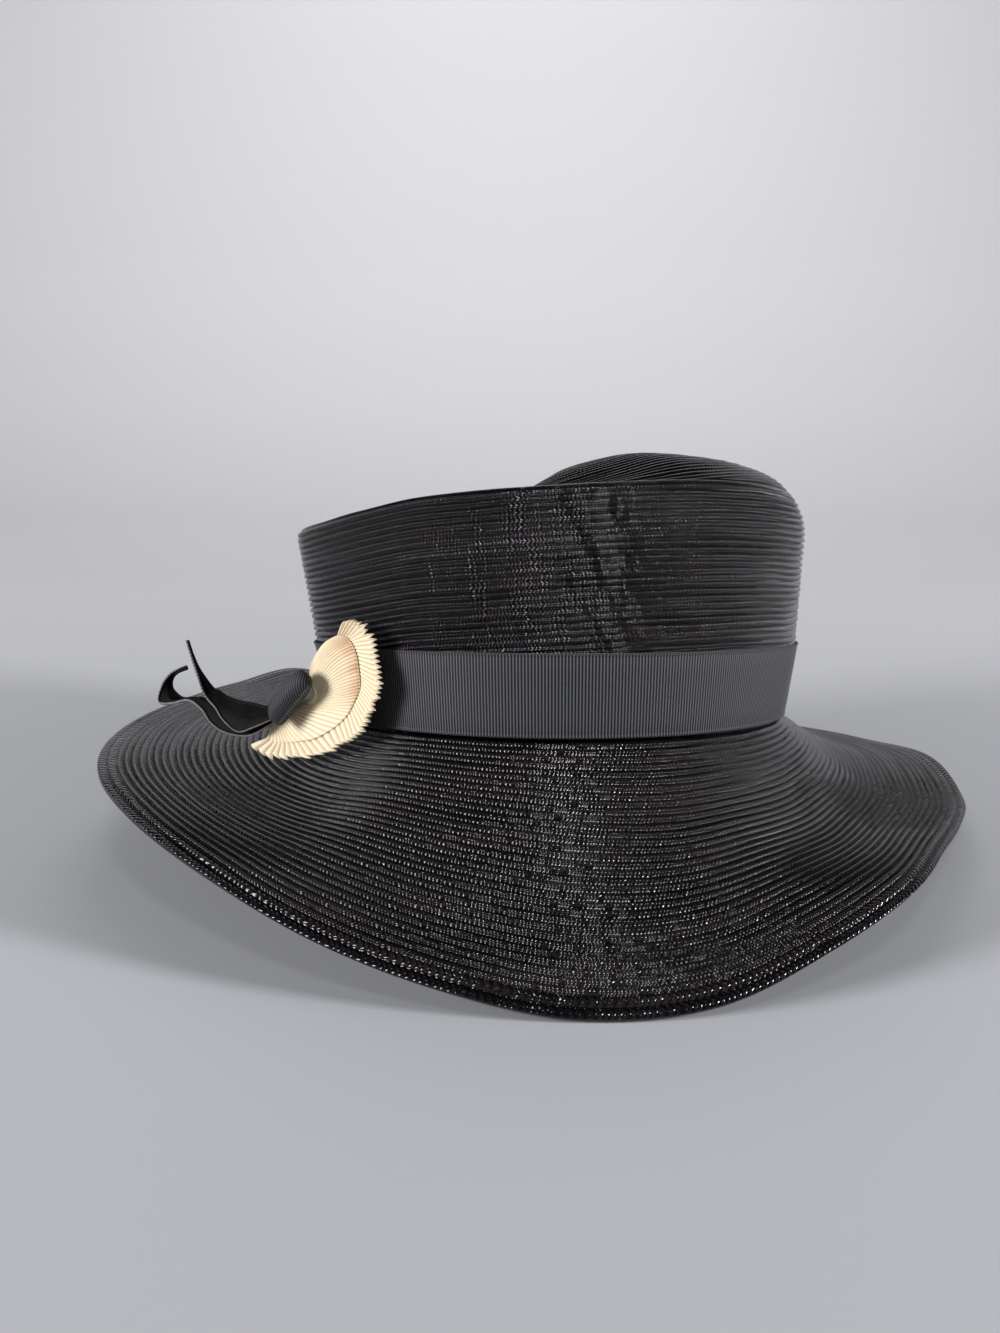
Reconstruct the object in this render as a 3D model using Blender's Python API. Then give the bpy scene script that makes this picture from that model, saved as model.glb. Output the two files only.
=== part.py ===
"""A black sewn-straw hat: dented crown, waved drooping brim, grosgrain band, pleated cream fan and ribbon bow.

Lengths are in millimetres until the meshes are made. The hat is drawn in its own frame: the origin is the middle
of the oval where the brim meets the crown, the front faces -Y and +Z is up. Azimuths are in degrees from the
front towards +X. A last step lays the finished hat on its brim's edge, as it would rest on a table.
"""
import bmesh
import bpy
import numpy as np
from mathutils import Matrix, Vector

MM = 0.001

# Straw body
HEAD_HALF_WIDTH = 82.5
HEAD_HALF_LENGTH = 94.0
STRAW_WALL = 1.8
BRIM_WIDTH = 84.0
CROWN_HEIGHT = 94.0
CROWN_HALF_WIDTH = 94.0
CROWN_HALF_LENGTH = 95.0
RIDGE_ROUNDING = 22.0
WALL_FLARE = 6.0
UPSTAND = 9.0

# Ribbon and pleats
RIBBON_WALL = 1.0
BAND_WIDTH = 26.0
BAND_RISE = 0.8
GAP = 0.3
FAN_RADIUS = 36.0
FAN_PLEATS = 46
FAN_SWEEP_START = 73.0
FAN_SWEEP_END = -146.0
FAN_MIDDLE = 3.0
FAN_TUCK = 3.0
FAN_WALL = 1.2
FAN_DOME = 4.0
FAN_RIM_LIFT = 2.5
FAN_AZIMUTH = 300.0
FAN_FACING = 318.0
FAN_HEIGHT = 10.0
FAN_STANDOFF = 14.0
PLEAT_STEEPNESS = 0.55
KNOT_LENGTH = 20.5
KNOT_WIDTH = 7.5
KNOT_DEPTH = 5.0
KNOT_TURN = 40.0
KNOT_CROWN = 1.6
KNOT_SHIFT = 7.5
TAIL_LENGTH = 60.0
TAIL_INSET = 4.0
RIBBON_LAYER = RIBBON_WALL + 2 * GAP

# How finely the surfaces are drawn
AROUND = 64
UPSTAND_ROWS = 1
BRIM_ROWS = 12
WALL_ROWS = 5
TIP_ROWS = 10
FINE = 100
BEND_STEPS = 10
KNOT_ACROSS = 6
KNOT_ROUND = 32
ARC_HANDLE = 0.55
TOUCHING = 0.001

# Red, green, blue and roughness of each finish
FINISHES = {
    "black_straw": (0.012, 0.012, 0.013, 0.38),
    "black_grosgrain": (0.035, 0.036, 0.038, 0.62),
    "cream_pleats": (0.87, 0.74, 0.53, 0.75),
}


def table(names, *rows):
    """Named columns from rows of numbers."""
    return dict(zip(names.split(), np.array(rows, float).T))


# One row for each direction round the brim. Reach and drop of the edge are shares of the brim's width; the slopes
# below level, in degrees, are at the root, a quarter, half and seven tenths of the way out, and at the edge.
BRIM = table(
    "azimuth reach drop root quarter half seven_tenths edge",
    (0, 0.605, 0.800, 46, 52, 52, 54, 58),
    (15, 0.630, 0.770, 56, 56, 44, 42, 54),
    (30, 0.655, 0.635, 68, 58, 36, 28, 54),
    (45, 0.680, 0.520, 80, 56, 34, 12, 42),
    (60, 0.675, 0.460, 72, 58, 32, 8, 34),
    (75, 0.745, 0.435, 54, 58, 34, 10, 22),
    (90, 0.875, 0.405, 36, 48, 34, 12, 12),
    (105, 0.960, 0.290, 26, 34, 24, 10, 6),
    (120, 0.945, 0.265, 20, 24, 20, 10, 6),
    (135, 0.935, 0.240, 17, 18, 16, 12, 10),
    (150, 0.930, 0.230, 15, 14, 13, 12, 12),
    (165, 0.930, 0.195, 12, 11, 11, 10, 10),
    (180, 0.930, 0.160, 10, 9, 9, 10, 10),
    (195, 0.930, 0.185, 8, 8, 11, 14, 14),
    (210, 0.935, 0.080, 3, 2, 5, 6, 6),
    (225, 0.935, -0.085, -2, -5, -6, -6, -6),
    (240, 0.930, -0.035, 2, -2, -4, -4, -4),
    (255, 0.965, 0.025, 10, 4, 0, 0, 0),
    (270, 1.015, 0.105, 18, 10, 2, 0, 4),
    (285, 0.995, 0.190, 32, 22, 8, 2, 8),
    (300, 0.900, 0.295, 50, 36, 14, 4, 16),
    (315, 0.785, 0.440, 50, 42, 24, 14, 34),
    (330, 0.690, 0.600, 40, 40, 36, 40, 54),
    (345, 0.630, 0.720, 42, 46, 46, 50, 58),
)
SLOPES = ("root", "quarter", "half", "seven_tenths", "edge")
SLOPE_STATIONS = (0.0, 0.25, 0.5, 0.7, 1.0)

# One row for each direction round the crown. Flare, ridge radius, ridge height and rounding are shares of the wall's
# flare, the crown's oval, its height and the ridge's rounding. The last four are heights of the tip a tenth, a
# quarter, half and three quarters of the way from the ridge to the middle, as shares of the crown's height.
CROWN = table(
    "azimuth flare radius ridge rounding tenth quarter half three_quarters",
    (0, 0.30, 1.010, 0.828, 0.16, 0.805, 0.815, 0.900, 0.930),
    (15, 0.40, 1.010, 0.842, 0.18, 0.830, 0.865, 0.940, 0.955),
    (30, 0.55, 1.005, 0.852, 0.22, 0.850, 0.915, 0.975, 0.970),
    (45, 0.65, 0.992, 0.856, 0.35, 0.872, 0.935, 0.985, 0.972),
    (60, 0.72, 0.982, 0.860, 0.60, 0.885, 0.945, 0.990, 0.975),
    (75, 0.75, 0.974, 0.870, 0.85, 0.900, 0.955, 0.998, 0.978),
    (90, 0.80, 0.975, 0.880, 1.00, 0.905, 0.960, 1.000, 0.980),
    (120, 0.80, 0.985, 0.870, 1.00, 0.885, 0.930, 0.980, 0.970),
    (150, 0.60, 1.000, 0.840, 0.90, 0.850, 0.885, 0.935, 0.950),
    (180, 0.50, 1.000, 0.810, 0.75, 0.820, 0.845, 0.890, 0.920),
    (210, 0.60, 1.000, 0.770, 0.60, 0.775, 0.795, 0.830, 0.875),
    (240, 1.05, 1.015, 0.735, 0.45, 0.738, 0.750, 0.785, 0.840),
    (270, 1.20, 1.032, 0.722, 0.28, 0.715, 0.720, 0.750, 0.820),
    (285, 1.20, 1.032, 0.724, 0.20, 0.700, 0.700, 0.740, 0.815),
    (300, 1.10, 1.022, 0.735, 0.16, 0.705, 0.700, 0.735, 0.812),
    (315, 0.80, 1.012, 0.762, 0.14, 0.730, 0.715, 0.750, 0.820),
    (330, 0.50, 1.010, 0.796, 0.14, 0.760, 0.745, 0.785, 0.845),
    (345, 0.35, 1.010, 0.814, 0.15, 0.785, 0.775, 0.840, 0.890),
)
TIP_NAMES = ("ridge", "tenth", "quarter", "half", "three_quarters")
TIP_STATIONS = (0.0, 0.1, 0.25, 0.5, 0.75)
TIP_MIDDLE = 0.925

# The fan's outline by direction from its middle, in degrees above level in its own plane. Rim and crease are shares
# of the fan's radius.
FAN = table(
    "angle rim crease",
    (-146, 0.88, 0.78),
    (-130, 0.78, 0.69),
    (-116, 0.66, 0.59),
    (-98, 0.60, 0.54),
    (-75, 0.56, 0.50),
    (-50, 0.63, 0.55),
    (-40, 0.69, 0.59),
    (-25, 0.85, 0.66),
    (-10, 0.98, 0.74),
    (0, 1.03, 0.78),
    (15, 1.09, 0.82),
    (30, 1.11, 0.84),
    (40, 1.10, 0.85),
    (47, 1.06, 0.84),
    (52, 0.84, 0.80),
    (57, 0.64, 0.62),
    (64, 0.49, 0.48),
    (73, 0.40, 0.39),
)

# The two tails, from the knot to the tip. Each row gives the lower and the upper edge as left, back and up from the
# fan's middle, in shares of the tails' span.
OUTER_TAIL = table(
    "low_left low_back low_up high_left high_back high_up",
    (0.165, 0.015, -0.16, 0.180, 0.050, -0.08),
    (0.30, 0.13, -0.24, 0.33, 0.25, -0.12),
    (0.41, 0.23, -0.26, 0.45, 0.36, -0.10),
    (0.53, 0.31, -0.24, 0.54, 0.44, -0.07),
    (0.61, 0.36, -0.19, 0.60, 0.48, -0.06),
    (0.67, 0.41, -0.12, 0.65, 0.51, -0.06),
    (0.77, 0.49, -0.07, 0.74, 0.57, -0.06),
    (0.90, 0.60, -0.10, 0.84, 0.67, -0.07),
    (1.00, 0.67, -0.10, 0.90, 0.70, -0.03),
    (0.98, 0.67, -0.01, 0.91, 0.70, 0.01),
    (0.92, 0.65, 0.07, 0.89, 0.67, 0.05),
    (0.86, 0.64, 0.11, 0.85, 0.64, 0.08),
)
INNER_TAIL = table(
    "low_left low_back low_up high_left high_back high_up",
    (0.150, -0.045, -0.13, 0.165, -0.030, -0.05),
    (0.28, 0.05, -0.19, 0.30, 0.12, -0.05),
    (0.40, 0.17, -0.23, 0.41, 0.27, -0.05),
    (0.50, 0.24, -0.17, 0.49, 0.33, -0.03),
    (0.55, 0.27, -0.10, 0.54, 0.35, 0.00),
    (0.62, 0.30, -0.02, 0.58, 0.37, 0.02),
    (0.67, 0.33, 0.12, 0.65, 0.37, 0.12),
    (0.71, 0.35, 0.22, 0.69, 0.37, 0.21),
)


def curve(stations, values, at):
    """A smooth curve through the values at the stations."""
    stations = np.asarray(stations, float)
    values = np.asarray(values, float)
    steps = np.diff(stations)
    rises = np.diff(values) / steps
    slopes = np.empty(len(values))
    slopes[1:-1] = (rises[:-1] * steps[1:] + rises[1:] * steps[:-1]) / (steps[:-1] + steps[1:])
    slopes[0] = rises[0]
    slopes[-1] = rises[-1]
    place = np.clip(np.searchsorted(stations, at, side="right") - 1, 0, len(steps) - 1)
    share = (at - stations[place]) / steps[place]
    rest = 1 - share
    return (
        values[place] * rest * rest * (1 + 2 * share)
        + values[place + 1] * share * share * (1 + 2 * rest)
        + steps[place] * share * rest * (slopes[place] * rest - slopes[place + 1] * share)
    )


def around(columns, name, azimuth):
    """One column of a table, read at any azimuth: the curve closes on itself."""
    turns = np.concatenate([columns["azimuth"] + whole for whole in (-360, 0, 360)])
    return curve(turns, np.tile(columns[name], 3), azimuth % 360)


def oval(half_width, half_length, azimuth):
    """Distance from the middle of an oval to its outline."""
    turn = np.radians(azimuth)
    return 1 / np.hypot(np.sin(turn) / half_width, np.cos(turn) / half_length)


def spaced(path, count):
    """The same path drawn with count equal steps."""
    walked = np.concatenate([[0], np.cumsum(np.linalg.norm(np.diff(path, axis=0), axis=1))])
    at = np.linspace(0, walked[-1], count + 1)
    return np.stack([np.interp(at, walked, column) for column in path.T], axis=1)


def wall_radius(azimuth, height):
    """The outside of the crown's wall where the band lies."""
    flare = around(CROWN, "flare", azimuth) * WALL_FLARE
    return oval(HEAD_HALF_WIDTH, HEAD_HALF_LENGTH, azimuth) + flare * height / (BAND_RISE + BAND_WIDTH)


def brim_section(azimuth):
    """Radius and height from the brim's root to its edge, its slopes followed from one end to the other."""
    shares = np.linspace(0, 1, FINE + 1)
    slopes = [around(BRIM, name, azimuth) for name in SLOPES]
    slope = np.radians(curve(SLOPE_STATIONS, slopes, (shares[1:] + shares[:-1]) / 2))
    path = np.concatenate([[0], np.cumsum(np.exp(-1j * slope))])
    edge = around(BRIM, "reach", azimuth) - 1j * around(BRIM, "drop", azimuth)
    path *= BRIM_WIDTH * edge / path[-1]
    return np.stack([wall_radius(azimuth, 0) + path.real, path.imag], axis=1)


def tip_line(azimuth):
    """Radius and height across the whole tip, from the ridge at this azimuth to the ridge opposite."""
    radii = []
    heights = []
    for turn, side in ((azimuth, 1), (azimuth + 180, -1)):
        radius = around(CROWN, "radius", turn) * oval(CROWN_HALF_WIDTH, CROWN_HALF_LENGTH, turn)
        radii.append([side * radius * (1 - share) for share in TIP_STATIONS])
        heights.append([around(CROWN, name, turn) * CROWN_HEIGHT for name in TIP_NAMES])
    radii = np.array(radii[0] + [0] + radii[1][::-1])
    heights = np.array(heights[0] + [TIP_MIDDLE * CROWN_HEIGHT] + heights[1][::-1])
    return radii[::-1], heights[::-1]


def crown_section(azimuth):
    """The crown's wall from the band's top to the ridge, and its tip from the ridge to the middle."""
    radii, heights = tip_line(azimuth)
    ridge = np.array([radii[-1], heights[-1]])
    knee = np.array([wall_radius(azimuth, BAND_RISE + BAND_WIDTH), BAND_RISE + BAND_WIDTH])
    rounding = around(CROWN, "rounding", azimuth) * RIDGE_ROUNDING
    up = (ridge - knee) / np.linalg.norm(ridge - knee)
    inner = np.linspace(ridge[0] - rounding, 0, FINE + 1)
    tip = np.stack([inner, curve(radii, heights, inner)], axis=1)
    out = (tip[0] - tip[1]) / np.linalg.norm(tip[0] - tip[1])
    handle = ARC_HANDLE * rounding
    corners = (ridge - up * rounding, ridge - up * (rounding - handle), tip[0] + out * handle, tip[0])
    share = np.linspace(0, 1, 2 * BEND_STEPS + 1)[:, None]
    rest = 1 - share
    bend = (
        rest**3 * corners[0]
        + 3 * rest**2 * share * corners[1]
        + 3 * rest * share**2 * corners[2]
        + share**3 * corners[3]
    )
    return np.concatenate([[knee], bend[: BEND_STEPS + 1]]), np.concatenate([bend[BEND_STEPS:], tip[1:]])


def turned(section, azimuth):
    """Points in space from radii and heights at one azimuth."""
    turn = np.radians(azimuth)
    radii, heights = section.T
    return np.stack([radii * np.sin(turn), -radii * np.cos(turn), heights], axis=1)


def round_the_hat(section_at):
    """A grid of points: one column of it for each azimuth, closed on itself."""
    azimuths = np.linspace(0, 360, AROUND + 1)
    return np.stack([turned(section_at(azimuth), azimuth) for azimuth in azimuths], axis=1)


def brim_rows(azimuth):
    upstand = np.array([[wall_radius(azimuth, UPSTAND), UPSTAND], [wall_radius(azimuth, 0), 0]])
    return np.concatenate([spaced(upstand, UPSTAND_ROWS), spaced(brim_section(azimuth), BRIM_ROWS)[1:]])


def crown_rows(azimuth):
    wall, tip = crown_section(azimuth)
    foot = UPSTAND + GAP
    base = np.array([[wall_radius(azimuth, foot), foot]])
    return np.concatenate([base, spaced(wall, WALL_ROWS), spaced(tip, TIP_ROWS)[1:]])


def band_rows(azimuth):
    heights = np.array([BAND_RISE, BAND_RISE + BAND_WIDTH])
    radii = np.array([wall_radius(azimuth, height) for height in heights]) + GAP + RIBBON_WALL
    return np.stack([radii, heights], axis=1)


class Plane:
    """A flat place to draw on: a middle, a way right, a way up and a way towards the viewer."""

    def __init__(self, middle, facing, turn=0.0):
        angle = np.radians(facing)
        self.middle = middle
        self.towards = np.array([np.sin(angle), -np.cos(angle), 0])
        level = np.array([np.cos(angle), np.sin(angle), 0])
        tilt = np.radians(turn)
        self.right = level * np.cos(tilt) + np.array([0, 0, np.sin(tilt)])
        self.up = np.cross(self.towards, self.right)

    def at(self, right, up, towards):
        """Points in space from distances on the plane and in front of it."""
        parts = zip((right, up, towards), (self.right, self.up, self.towards))
        return self.middle + sum(np.asarray(size)[..., None] * way for size, way in parts)


def fan_plane():
    radius = wall_radius(FAN_AZIMUTH, FAN_HEIGHT) + GAP + RIBBON_WALL + FAN_STANDOFF
    return Plane(turned(np.array([[radius, FAN_HEIGHT]]), FAN_AZIMUTH)[0], FAN_FACING)


def fan_rows(plane, rings):
    """A pleated ring sector through rings of one radius and one height in front of the plane at each angle."""
    columns = 2 * FAN_PLEATS + 1
    angles = np.linspace(FAN_SWEEP_START, FAN_SWEEP_END, columns)
    half_pleat = np.radians(FAN_SWEEP_START - FAN_SWEEP_END) / (2 * FAN_PLEATS)
    side = np.where(np.arange(columns) % 2, 1, -1)
    turn = np.radians(angles)
    grid = []
    for radius_at, lift_at in rings:
        radius = radius_at(angles)
        pleat = side * radius * half_pleat * PLEAT_STEEPNESS
        grid.append(plane.at(radius * np.cos(turn), radius * np.sin(turn), lift_at(radius, angles) + pleat))
    return np.stack(grid)


def rim(angles):
    return curve(FAN["angle"], FAN["rim"], angles) * FAN_RADIUS


def crease(angles):
    return curve(FAN["angle"], FAN["crease"], angles) * FAN_RADIUS


def middle(angles):
    return FAN_MIDDLE + 0 * angles


def tucked_edge(angles):
    return crease(angles) - FAN_TUCK


def past_crease(angles):
    return crease(angles) + GAP


def inner_lift(radius, angles):
    """The inner fan is a shallow cone that meets its own plane at the crease."""
    return FAN_DOME * (1 - radius / crease(angles))


def fan_front(right, up):
    """Height of the pleats' tops in front of the plane."""
    radius = np.hypot(right, up)
    half_pleat = np.radians(FAN_SWEEP_START - FAN_SWEEP_END) / (2 * FAN_PLEATS)
    return inner_lift(radius, np.degrees(np.arctan2(up, right))) + radius * half_pleat * PLEAT_STEEPNESS


def nested_lift(radius, angles):
    """Close behind the inner fan."""
    return inner_lift(radius, angles) - FAN_WALL - GAP


def flared_lift(radius, angles):
    return FAN_RIM_LIFT + 0 * angles


INNER_RINGS = ((middle, inner_lift), (crease, inner_lift))
OUTER_RINGS = ((tucked_edge, nested_lift), (past_crease, nested_lift), (rim, flared_lift))


def knot_rows(plane):
    """A flattened loop of ribbon, its band bulging between its two edges."""
    across = np.linspace(-0.5, 0.5, KNOT_ACROSS + 1)
    loop = np.linspace(0, 2 * np.pi, KNOT_ROUND + 1)
    straight = (KNOT_LENGTH - KNOT_DEPTH) / 2
    half = KNOT_DEPTH / 2
    grid = []
    for share in across:
        bulge = KNOT_CROWN * (1 - 4 * share**2)
        along = straight * np.sign(np.cos(loop).round(6)) + (half + bulge) * np.cos(loop)
        grid.append(plane.at(along, share * KNOT_WIDTH + 0 * loop, (half + bulge) * np.sin(loop)))
    return np.stack(grid)


def tail_rows(columns, plane, layer):
    """A ribbon between its two edges: smooth curves from a start behind the knot through the table's rows.

    The start lies on the fan with a number of layers of ribbon at its place.
    """
    right = np.array([TAIL_INSET, TAIL_INSET])
    up = np.array([-KNOT_WIDTH / 2, KNOT_WIDTH / 2])
    starts = plane.at(right, up, fan_front(right, up) + layer * RIBBON_LAYER)
    count = len(columns["low_left"]) + 1
    at = np.linspace(0, count - 1, 3 * count)
    edges = []
    for side, start in zip(("low", "high"), starts):
        ways = np.stack([-columns[side + "_left"], columns[side + "_back"], columns[side + "_up"]], axis=1)
        points = np.concatenate([[start], plane.middle + ways * TAIL_LENGTH])
        edges.append(np.stack([curve(np.arange(count), line, at) for line in points.T], axis=1))
    low, high = edges
    return np.stack([low, (low + high) / 2, high])


def cloth(name, rows, wall, colour, along=None, outward=None):
    """A sheet through a grid of points, given its thickness behind the drawn side or along one direction."""
    draft = bmesh.new()
    down, across = rows.shape[:2]
    bmesh.ops.create_grid(draft, x_segments=across - 1, y_segments=down - 1, size=1)
    draft.verts.ensure_lookup_table()
    for vertex, point in zip(draft.verts, rows.reshape(-1, 3)):
        vertex.co = Vector(point * MM)
    bmesh.ops.remove_doubles(draft, verts=draft.verts, dist=TOUCHING * MM)
    draft.normal_update()
    facing = sum((face.normal * face.calc_area()).dot(outward(face.calc_center_median())) for face in draft.faces)
    if facing < 0:
        bmesh.ops.reverse_faces(draft, faces=draft.faces)
    if along is not None:
        made = bmesh.ops.extrude_face_region(draft, geom=draft.faces[:], use_keep_orig=True)
        moved = [item for item in made["geom"] if isinstance(item, bmesh.types.BMVert)]
        bmesh.ops.translate(draft, verts=moved, vec=Vector(along * wall * MM))
        bmesh.ops.recalc_face_normals(draft, faces=draft.faces)
    mesh = bpy.data.meshes.new(name)
    draft.to_mesh(mesh)
    draft.free()
    mesh.shade_smooth()
    piece = bpy.data.objects.new(name, mesh)
    bpy.context.scene.collection.objects.link(piece)
    piece.data.materials.append(colour)
    if along is None:
        thick = piece.modifiers.new("thickness", "SOLIDIFY")
        thick.thickness = wall * MM
        thick.offset = -1
        thick.use_even_offset = True
        thick.use_quality_normals = True
    return piece


def away_from_middle(point):
    return Vector((point.x, point.y, point.z - BAND_WIDTH * MM))


def outward_and_up(point):
    return Vector((point.x, point.y, 0)).normalized() + Vector((0, 0, 1))


def material(name):
    red, green, blue, roughness = FINISHES[name]
    made = bpy.data.materials.new(name)
    made.use_nodes = True
    shader = made.node_tree.nodes["Principled BSDF"]
    shader.inputs["Base Color"].default_value = (red, green, blue, 1)
    shader.inputs["Roughness"].default_value = roughness
    shader.inputs["Metallic"].default_value = 0.0
    made.diffuse_color = (red, green, blue, 1)
    return made


def solid(piece):
    """Points and triangles of a finished piece, in millimetres."""
    whole = piece.evaluated_get(bpy.context.evaluated_depsgraph_get())
    mesh = whole.to_mesh()
    mesh.calc_loop_triangles()
    points = np.array([vertex.co for vertex in mesh.vertices]) / MM
    faces = np.array([triangle.vertices for triangle in mesh.loop_triangles])
    whole.to_mesh_clear()
    return points, faces


def balance_point(solids):
    """The middle of all the material."""
    volume = 0
    moment = np.zeros(3)
    for points, faces in solids:
        one, two, three = (points[faces[:, corner]] for corner in range(3))
        parts = np.einsum("ij,ij->i", one, np.cross(two, three)) / 6
        volume += parts.sum()
        moment += (parts[:, None] * (one + two + three) / 4).sum(axis=0)
    return moment / volume


def resting_way_up(edge, balance):
    """The way up for the hat standing on three points of its edge, with its balance point between them."""
    first, second, third = np.array(
        [(i, j, k) for i in range(len(edge)) for j in range(i + 1, len(edge)) for k in range(j + 1, len(edge))]
    ).T
    ways = np.cross(edge[second] - edge[first], edge[third] - edge[first])
    ways *= np.sign(ways[:, 2:])
    ways /= np.linalg.norm(ways, axis=1)[:, None]
    lowest = (edge @ ways.T).min(axis=0)
    standing = np.einsum("ij,ij->i", edge[first], ways)
    inside = lowest > standing - TOUCHING
    for one, two, other in ((first, second, third), (second, third, first), (third, first, second)):
        side = np.einsum("ij,ij->i", np.cross(edge[two] - edge[one], balance - edge[one]), ways)
        same = np.einsum("ij,ij->i", np.cross(edge[two] - edge[one], edge[other] - edge[one]), ways)
        inside &= side * same > 0
    found = np.flatnonzero(inside)[0]
    return ways[found], [edge[corner[found]] for corner in (first, second, third)]


def rest_on_edge(pieces):
    """Turns and lifts all pieces together: the edge stands on the ground, the middle of the outline at the origin."""
    bpy.context.view_layer.update()
    solids = [solid(piece) for piece in pieces]
    points = solids[0][0]
    azimuths = np.degrees(np.arctan2(points[:, 0], -points[:, 1])) % 360
    radii = np.hypot(points[:, 0], points[:, 1])
    slot = np.round(azimuths * AROUND / 360).astype(int) % AROUND
    edge = []
    for column in range(AROUND):
        mine = np.flatnonzero((slot == column) & (radii > radii[slot == column].max() - 2 * STRAW_WALL))
        edge.append(points[mine[np.argmin(points[mine, 2])]])
    way_up, feet = resting_way_up(np.array(edge), balance_point(solids))
    turn = Vector(way_up).rotation_difference(Vector((0, 0, 1))).to_matrix()
    laid = np.concatenate([points for points, faces in solids]) @ np.array(turn).T
    low, high = laid.min(axis=0), laid.max(axis=0)
    shift = Vector((-(low[0] + high[0]) / 2, -(low[1] + high[1]) / 2, -low[2]))
    pose = bpy.data.objects.new("rest_pose", None)
    bpy.context.scene.collection.objects.link(pose)
    pose.matrix_world = Matrix.Translation(shift * MM) @ turn.to_4x4()
    for piece in pieces:
        piece.parent = pose
    print("balance point", balance_point(solids).round(1), "feet", [foot.round(1) for foot in feet])
    print("way up", way_up.round(5), "shift", [round(value, 3) for value in shift], "size", (high - low).round(1))


def build():
    for old in list(bpy.data.objects):
        bpy.data.objects.remove(old)
    straw = material("black_straw")
    grosgrain = material("black_grosgrain")
    cream = material("cream_pleats")
    plane = fan_plane()
    knot_height = fan_front(TAIL_INSET, KNOT_WIDTH / 2) + 2 * RIBBON_LAYER + GAP + KNOT_DEPTH / 2 + KNOT_CROWN
    knot_plane = Plane(plane.at(KNOT_SHIFT, 0.0, knot_height), FAN_FACING, KNOT_TURN)

    def towards_viewer(point):
        return Vector(plane.towards)

    def away_from_knot(point):
        return point - Vector(knot_plane.middle * MM)

    pieces = [
        cloth("brim", round_the_hat(brim_rows), STRAW_WALL, straw, outward=outward_and_up),
        cloth("crown", round_the_hat(crown_rows), STRAW_WALL, straw, outward=away_from_middle),
        cloth("hat_band", round_the_hat(band_rows), RIBBON_WALL, grosgrain, outward=away_from_middle),
        cloth(
            "fan_inner",
            fan_rows(plane, INNER_RINGS),
            FAN_WALL,
            cream,
            along=-plane.towards,
            outward=towards_viewer,
        ),
        cloth(
            "fan_outer",
            fan_rows(plane, OUTER_RINGS),
            FAN_WALL,
            cream,
            along=-plane.towards,
            outward=towards_viewer,
        ),
        cloth("bow_knot", knot_rows(knot_plane), RIBBON_WALL, grosgrain, outward=away_from_knot),
        cloth("bow_tail_outer", tail_rows(OUTER_TAIL, plane, 1), RIBBON_WALL, grosgrain, outward=towards_viewer),
        cloth("bow_tail_inner", tail_rows(INNER_TAIL, plane, 2), RIBBON_WALL, grosgrain, outward=towards_viewer),
    ]
    rest_on_edge(pieces)


build()
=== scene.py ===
# %% [markdown]
# # A black sewn-straw hat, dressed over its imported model
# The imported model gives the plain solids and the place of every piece. This lesson makes the fine surfaces
# over them: braid sewn in rows, ribbed grosgrain ribbon and a fan of cream pleats. Each piece is drawn with
# the same curves as its solid, so that it lies where the solid lies, and then gets the detail that a solid
# leaves out.

import bpy
import numpy as np
from mathutils import Matrix, Vector


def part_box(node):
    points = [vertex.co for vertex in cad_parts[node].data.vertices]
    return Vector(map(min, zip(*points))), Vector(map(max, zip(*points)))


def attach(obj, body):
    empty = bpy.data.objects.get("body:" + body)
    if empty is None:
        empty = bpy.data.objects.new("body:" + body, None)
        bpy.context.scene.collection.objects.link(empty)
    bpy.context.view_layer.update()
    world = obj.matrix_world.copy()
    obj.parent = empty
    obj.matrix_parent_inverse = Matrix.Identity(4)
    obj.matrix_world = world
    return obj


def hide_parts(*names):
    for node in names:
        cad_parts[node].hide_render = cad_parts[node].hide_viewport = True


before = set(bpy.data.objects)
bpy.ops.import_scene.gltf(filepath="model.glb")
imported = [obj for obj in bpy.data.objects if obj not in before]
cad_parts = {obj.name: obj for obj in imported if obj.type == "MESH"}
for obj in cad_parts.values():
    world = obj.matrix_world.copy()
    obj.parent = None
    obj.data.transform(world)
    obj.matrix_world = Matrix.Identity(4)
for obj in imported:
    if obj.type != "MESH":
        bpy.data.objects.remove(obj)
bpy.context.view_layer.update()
MM = 0.001
print("nodes", sorted(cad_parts))

# %% [markdown]
# ## Sizes and curves of the hat
# The hat is drawn in its own frame in millimetres: the origin is the middle of the oval where brim and
# crown meet, the front faces -Y and +Z is up. Azimuths are degrees from the front towards +X. The tables
# hold shares of the named sizes, and smooth curves run through them. Writing the surfaces as curves and not
# as a mesh lets each piece be drawn as finely as its detail needs.

# %% Named sizes
HEAD_HALF_WIDTH = 82.5
HEAD_HALF_LENGTH = 94.0
STRAW_WALL = 1.8
BRIM_WIDTH = 84.0
CROWN_HEIGHT = 94.0
CROWN_HALF_WIDTH = 94.0
CROWN_HALF_LENGTH = 95.0
RIDGE_ROUNDING = 22.0
WALL_FLARE = 6.0
UPSTAND = 9.0
RIBBON_WALL = 1.0
BAND_WIDTH = 26.0
BAND_RISE = 0.8
GAP = 0.3
BAND_TOP = BAND_RISE + BAND_WIDTH

# %% Tables of shares
def table(names, *rows):
    """Named columns from rows of numbers."""
    return dict(zip(names.split(), np.array(rows, float).T))


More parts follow.
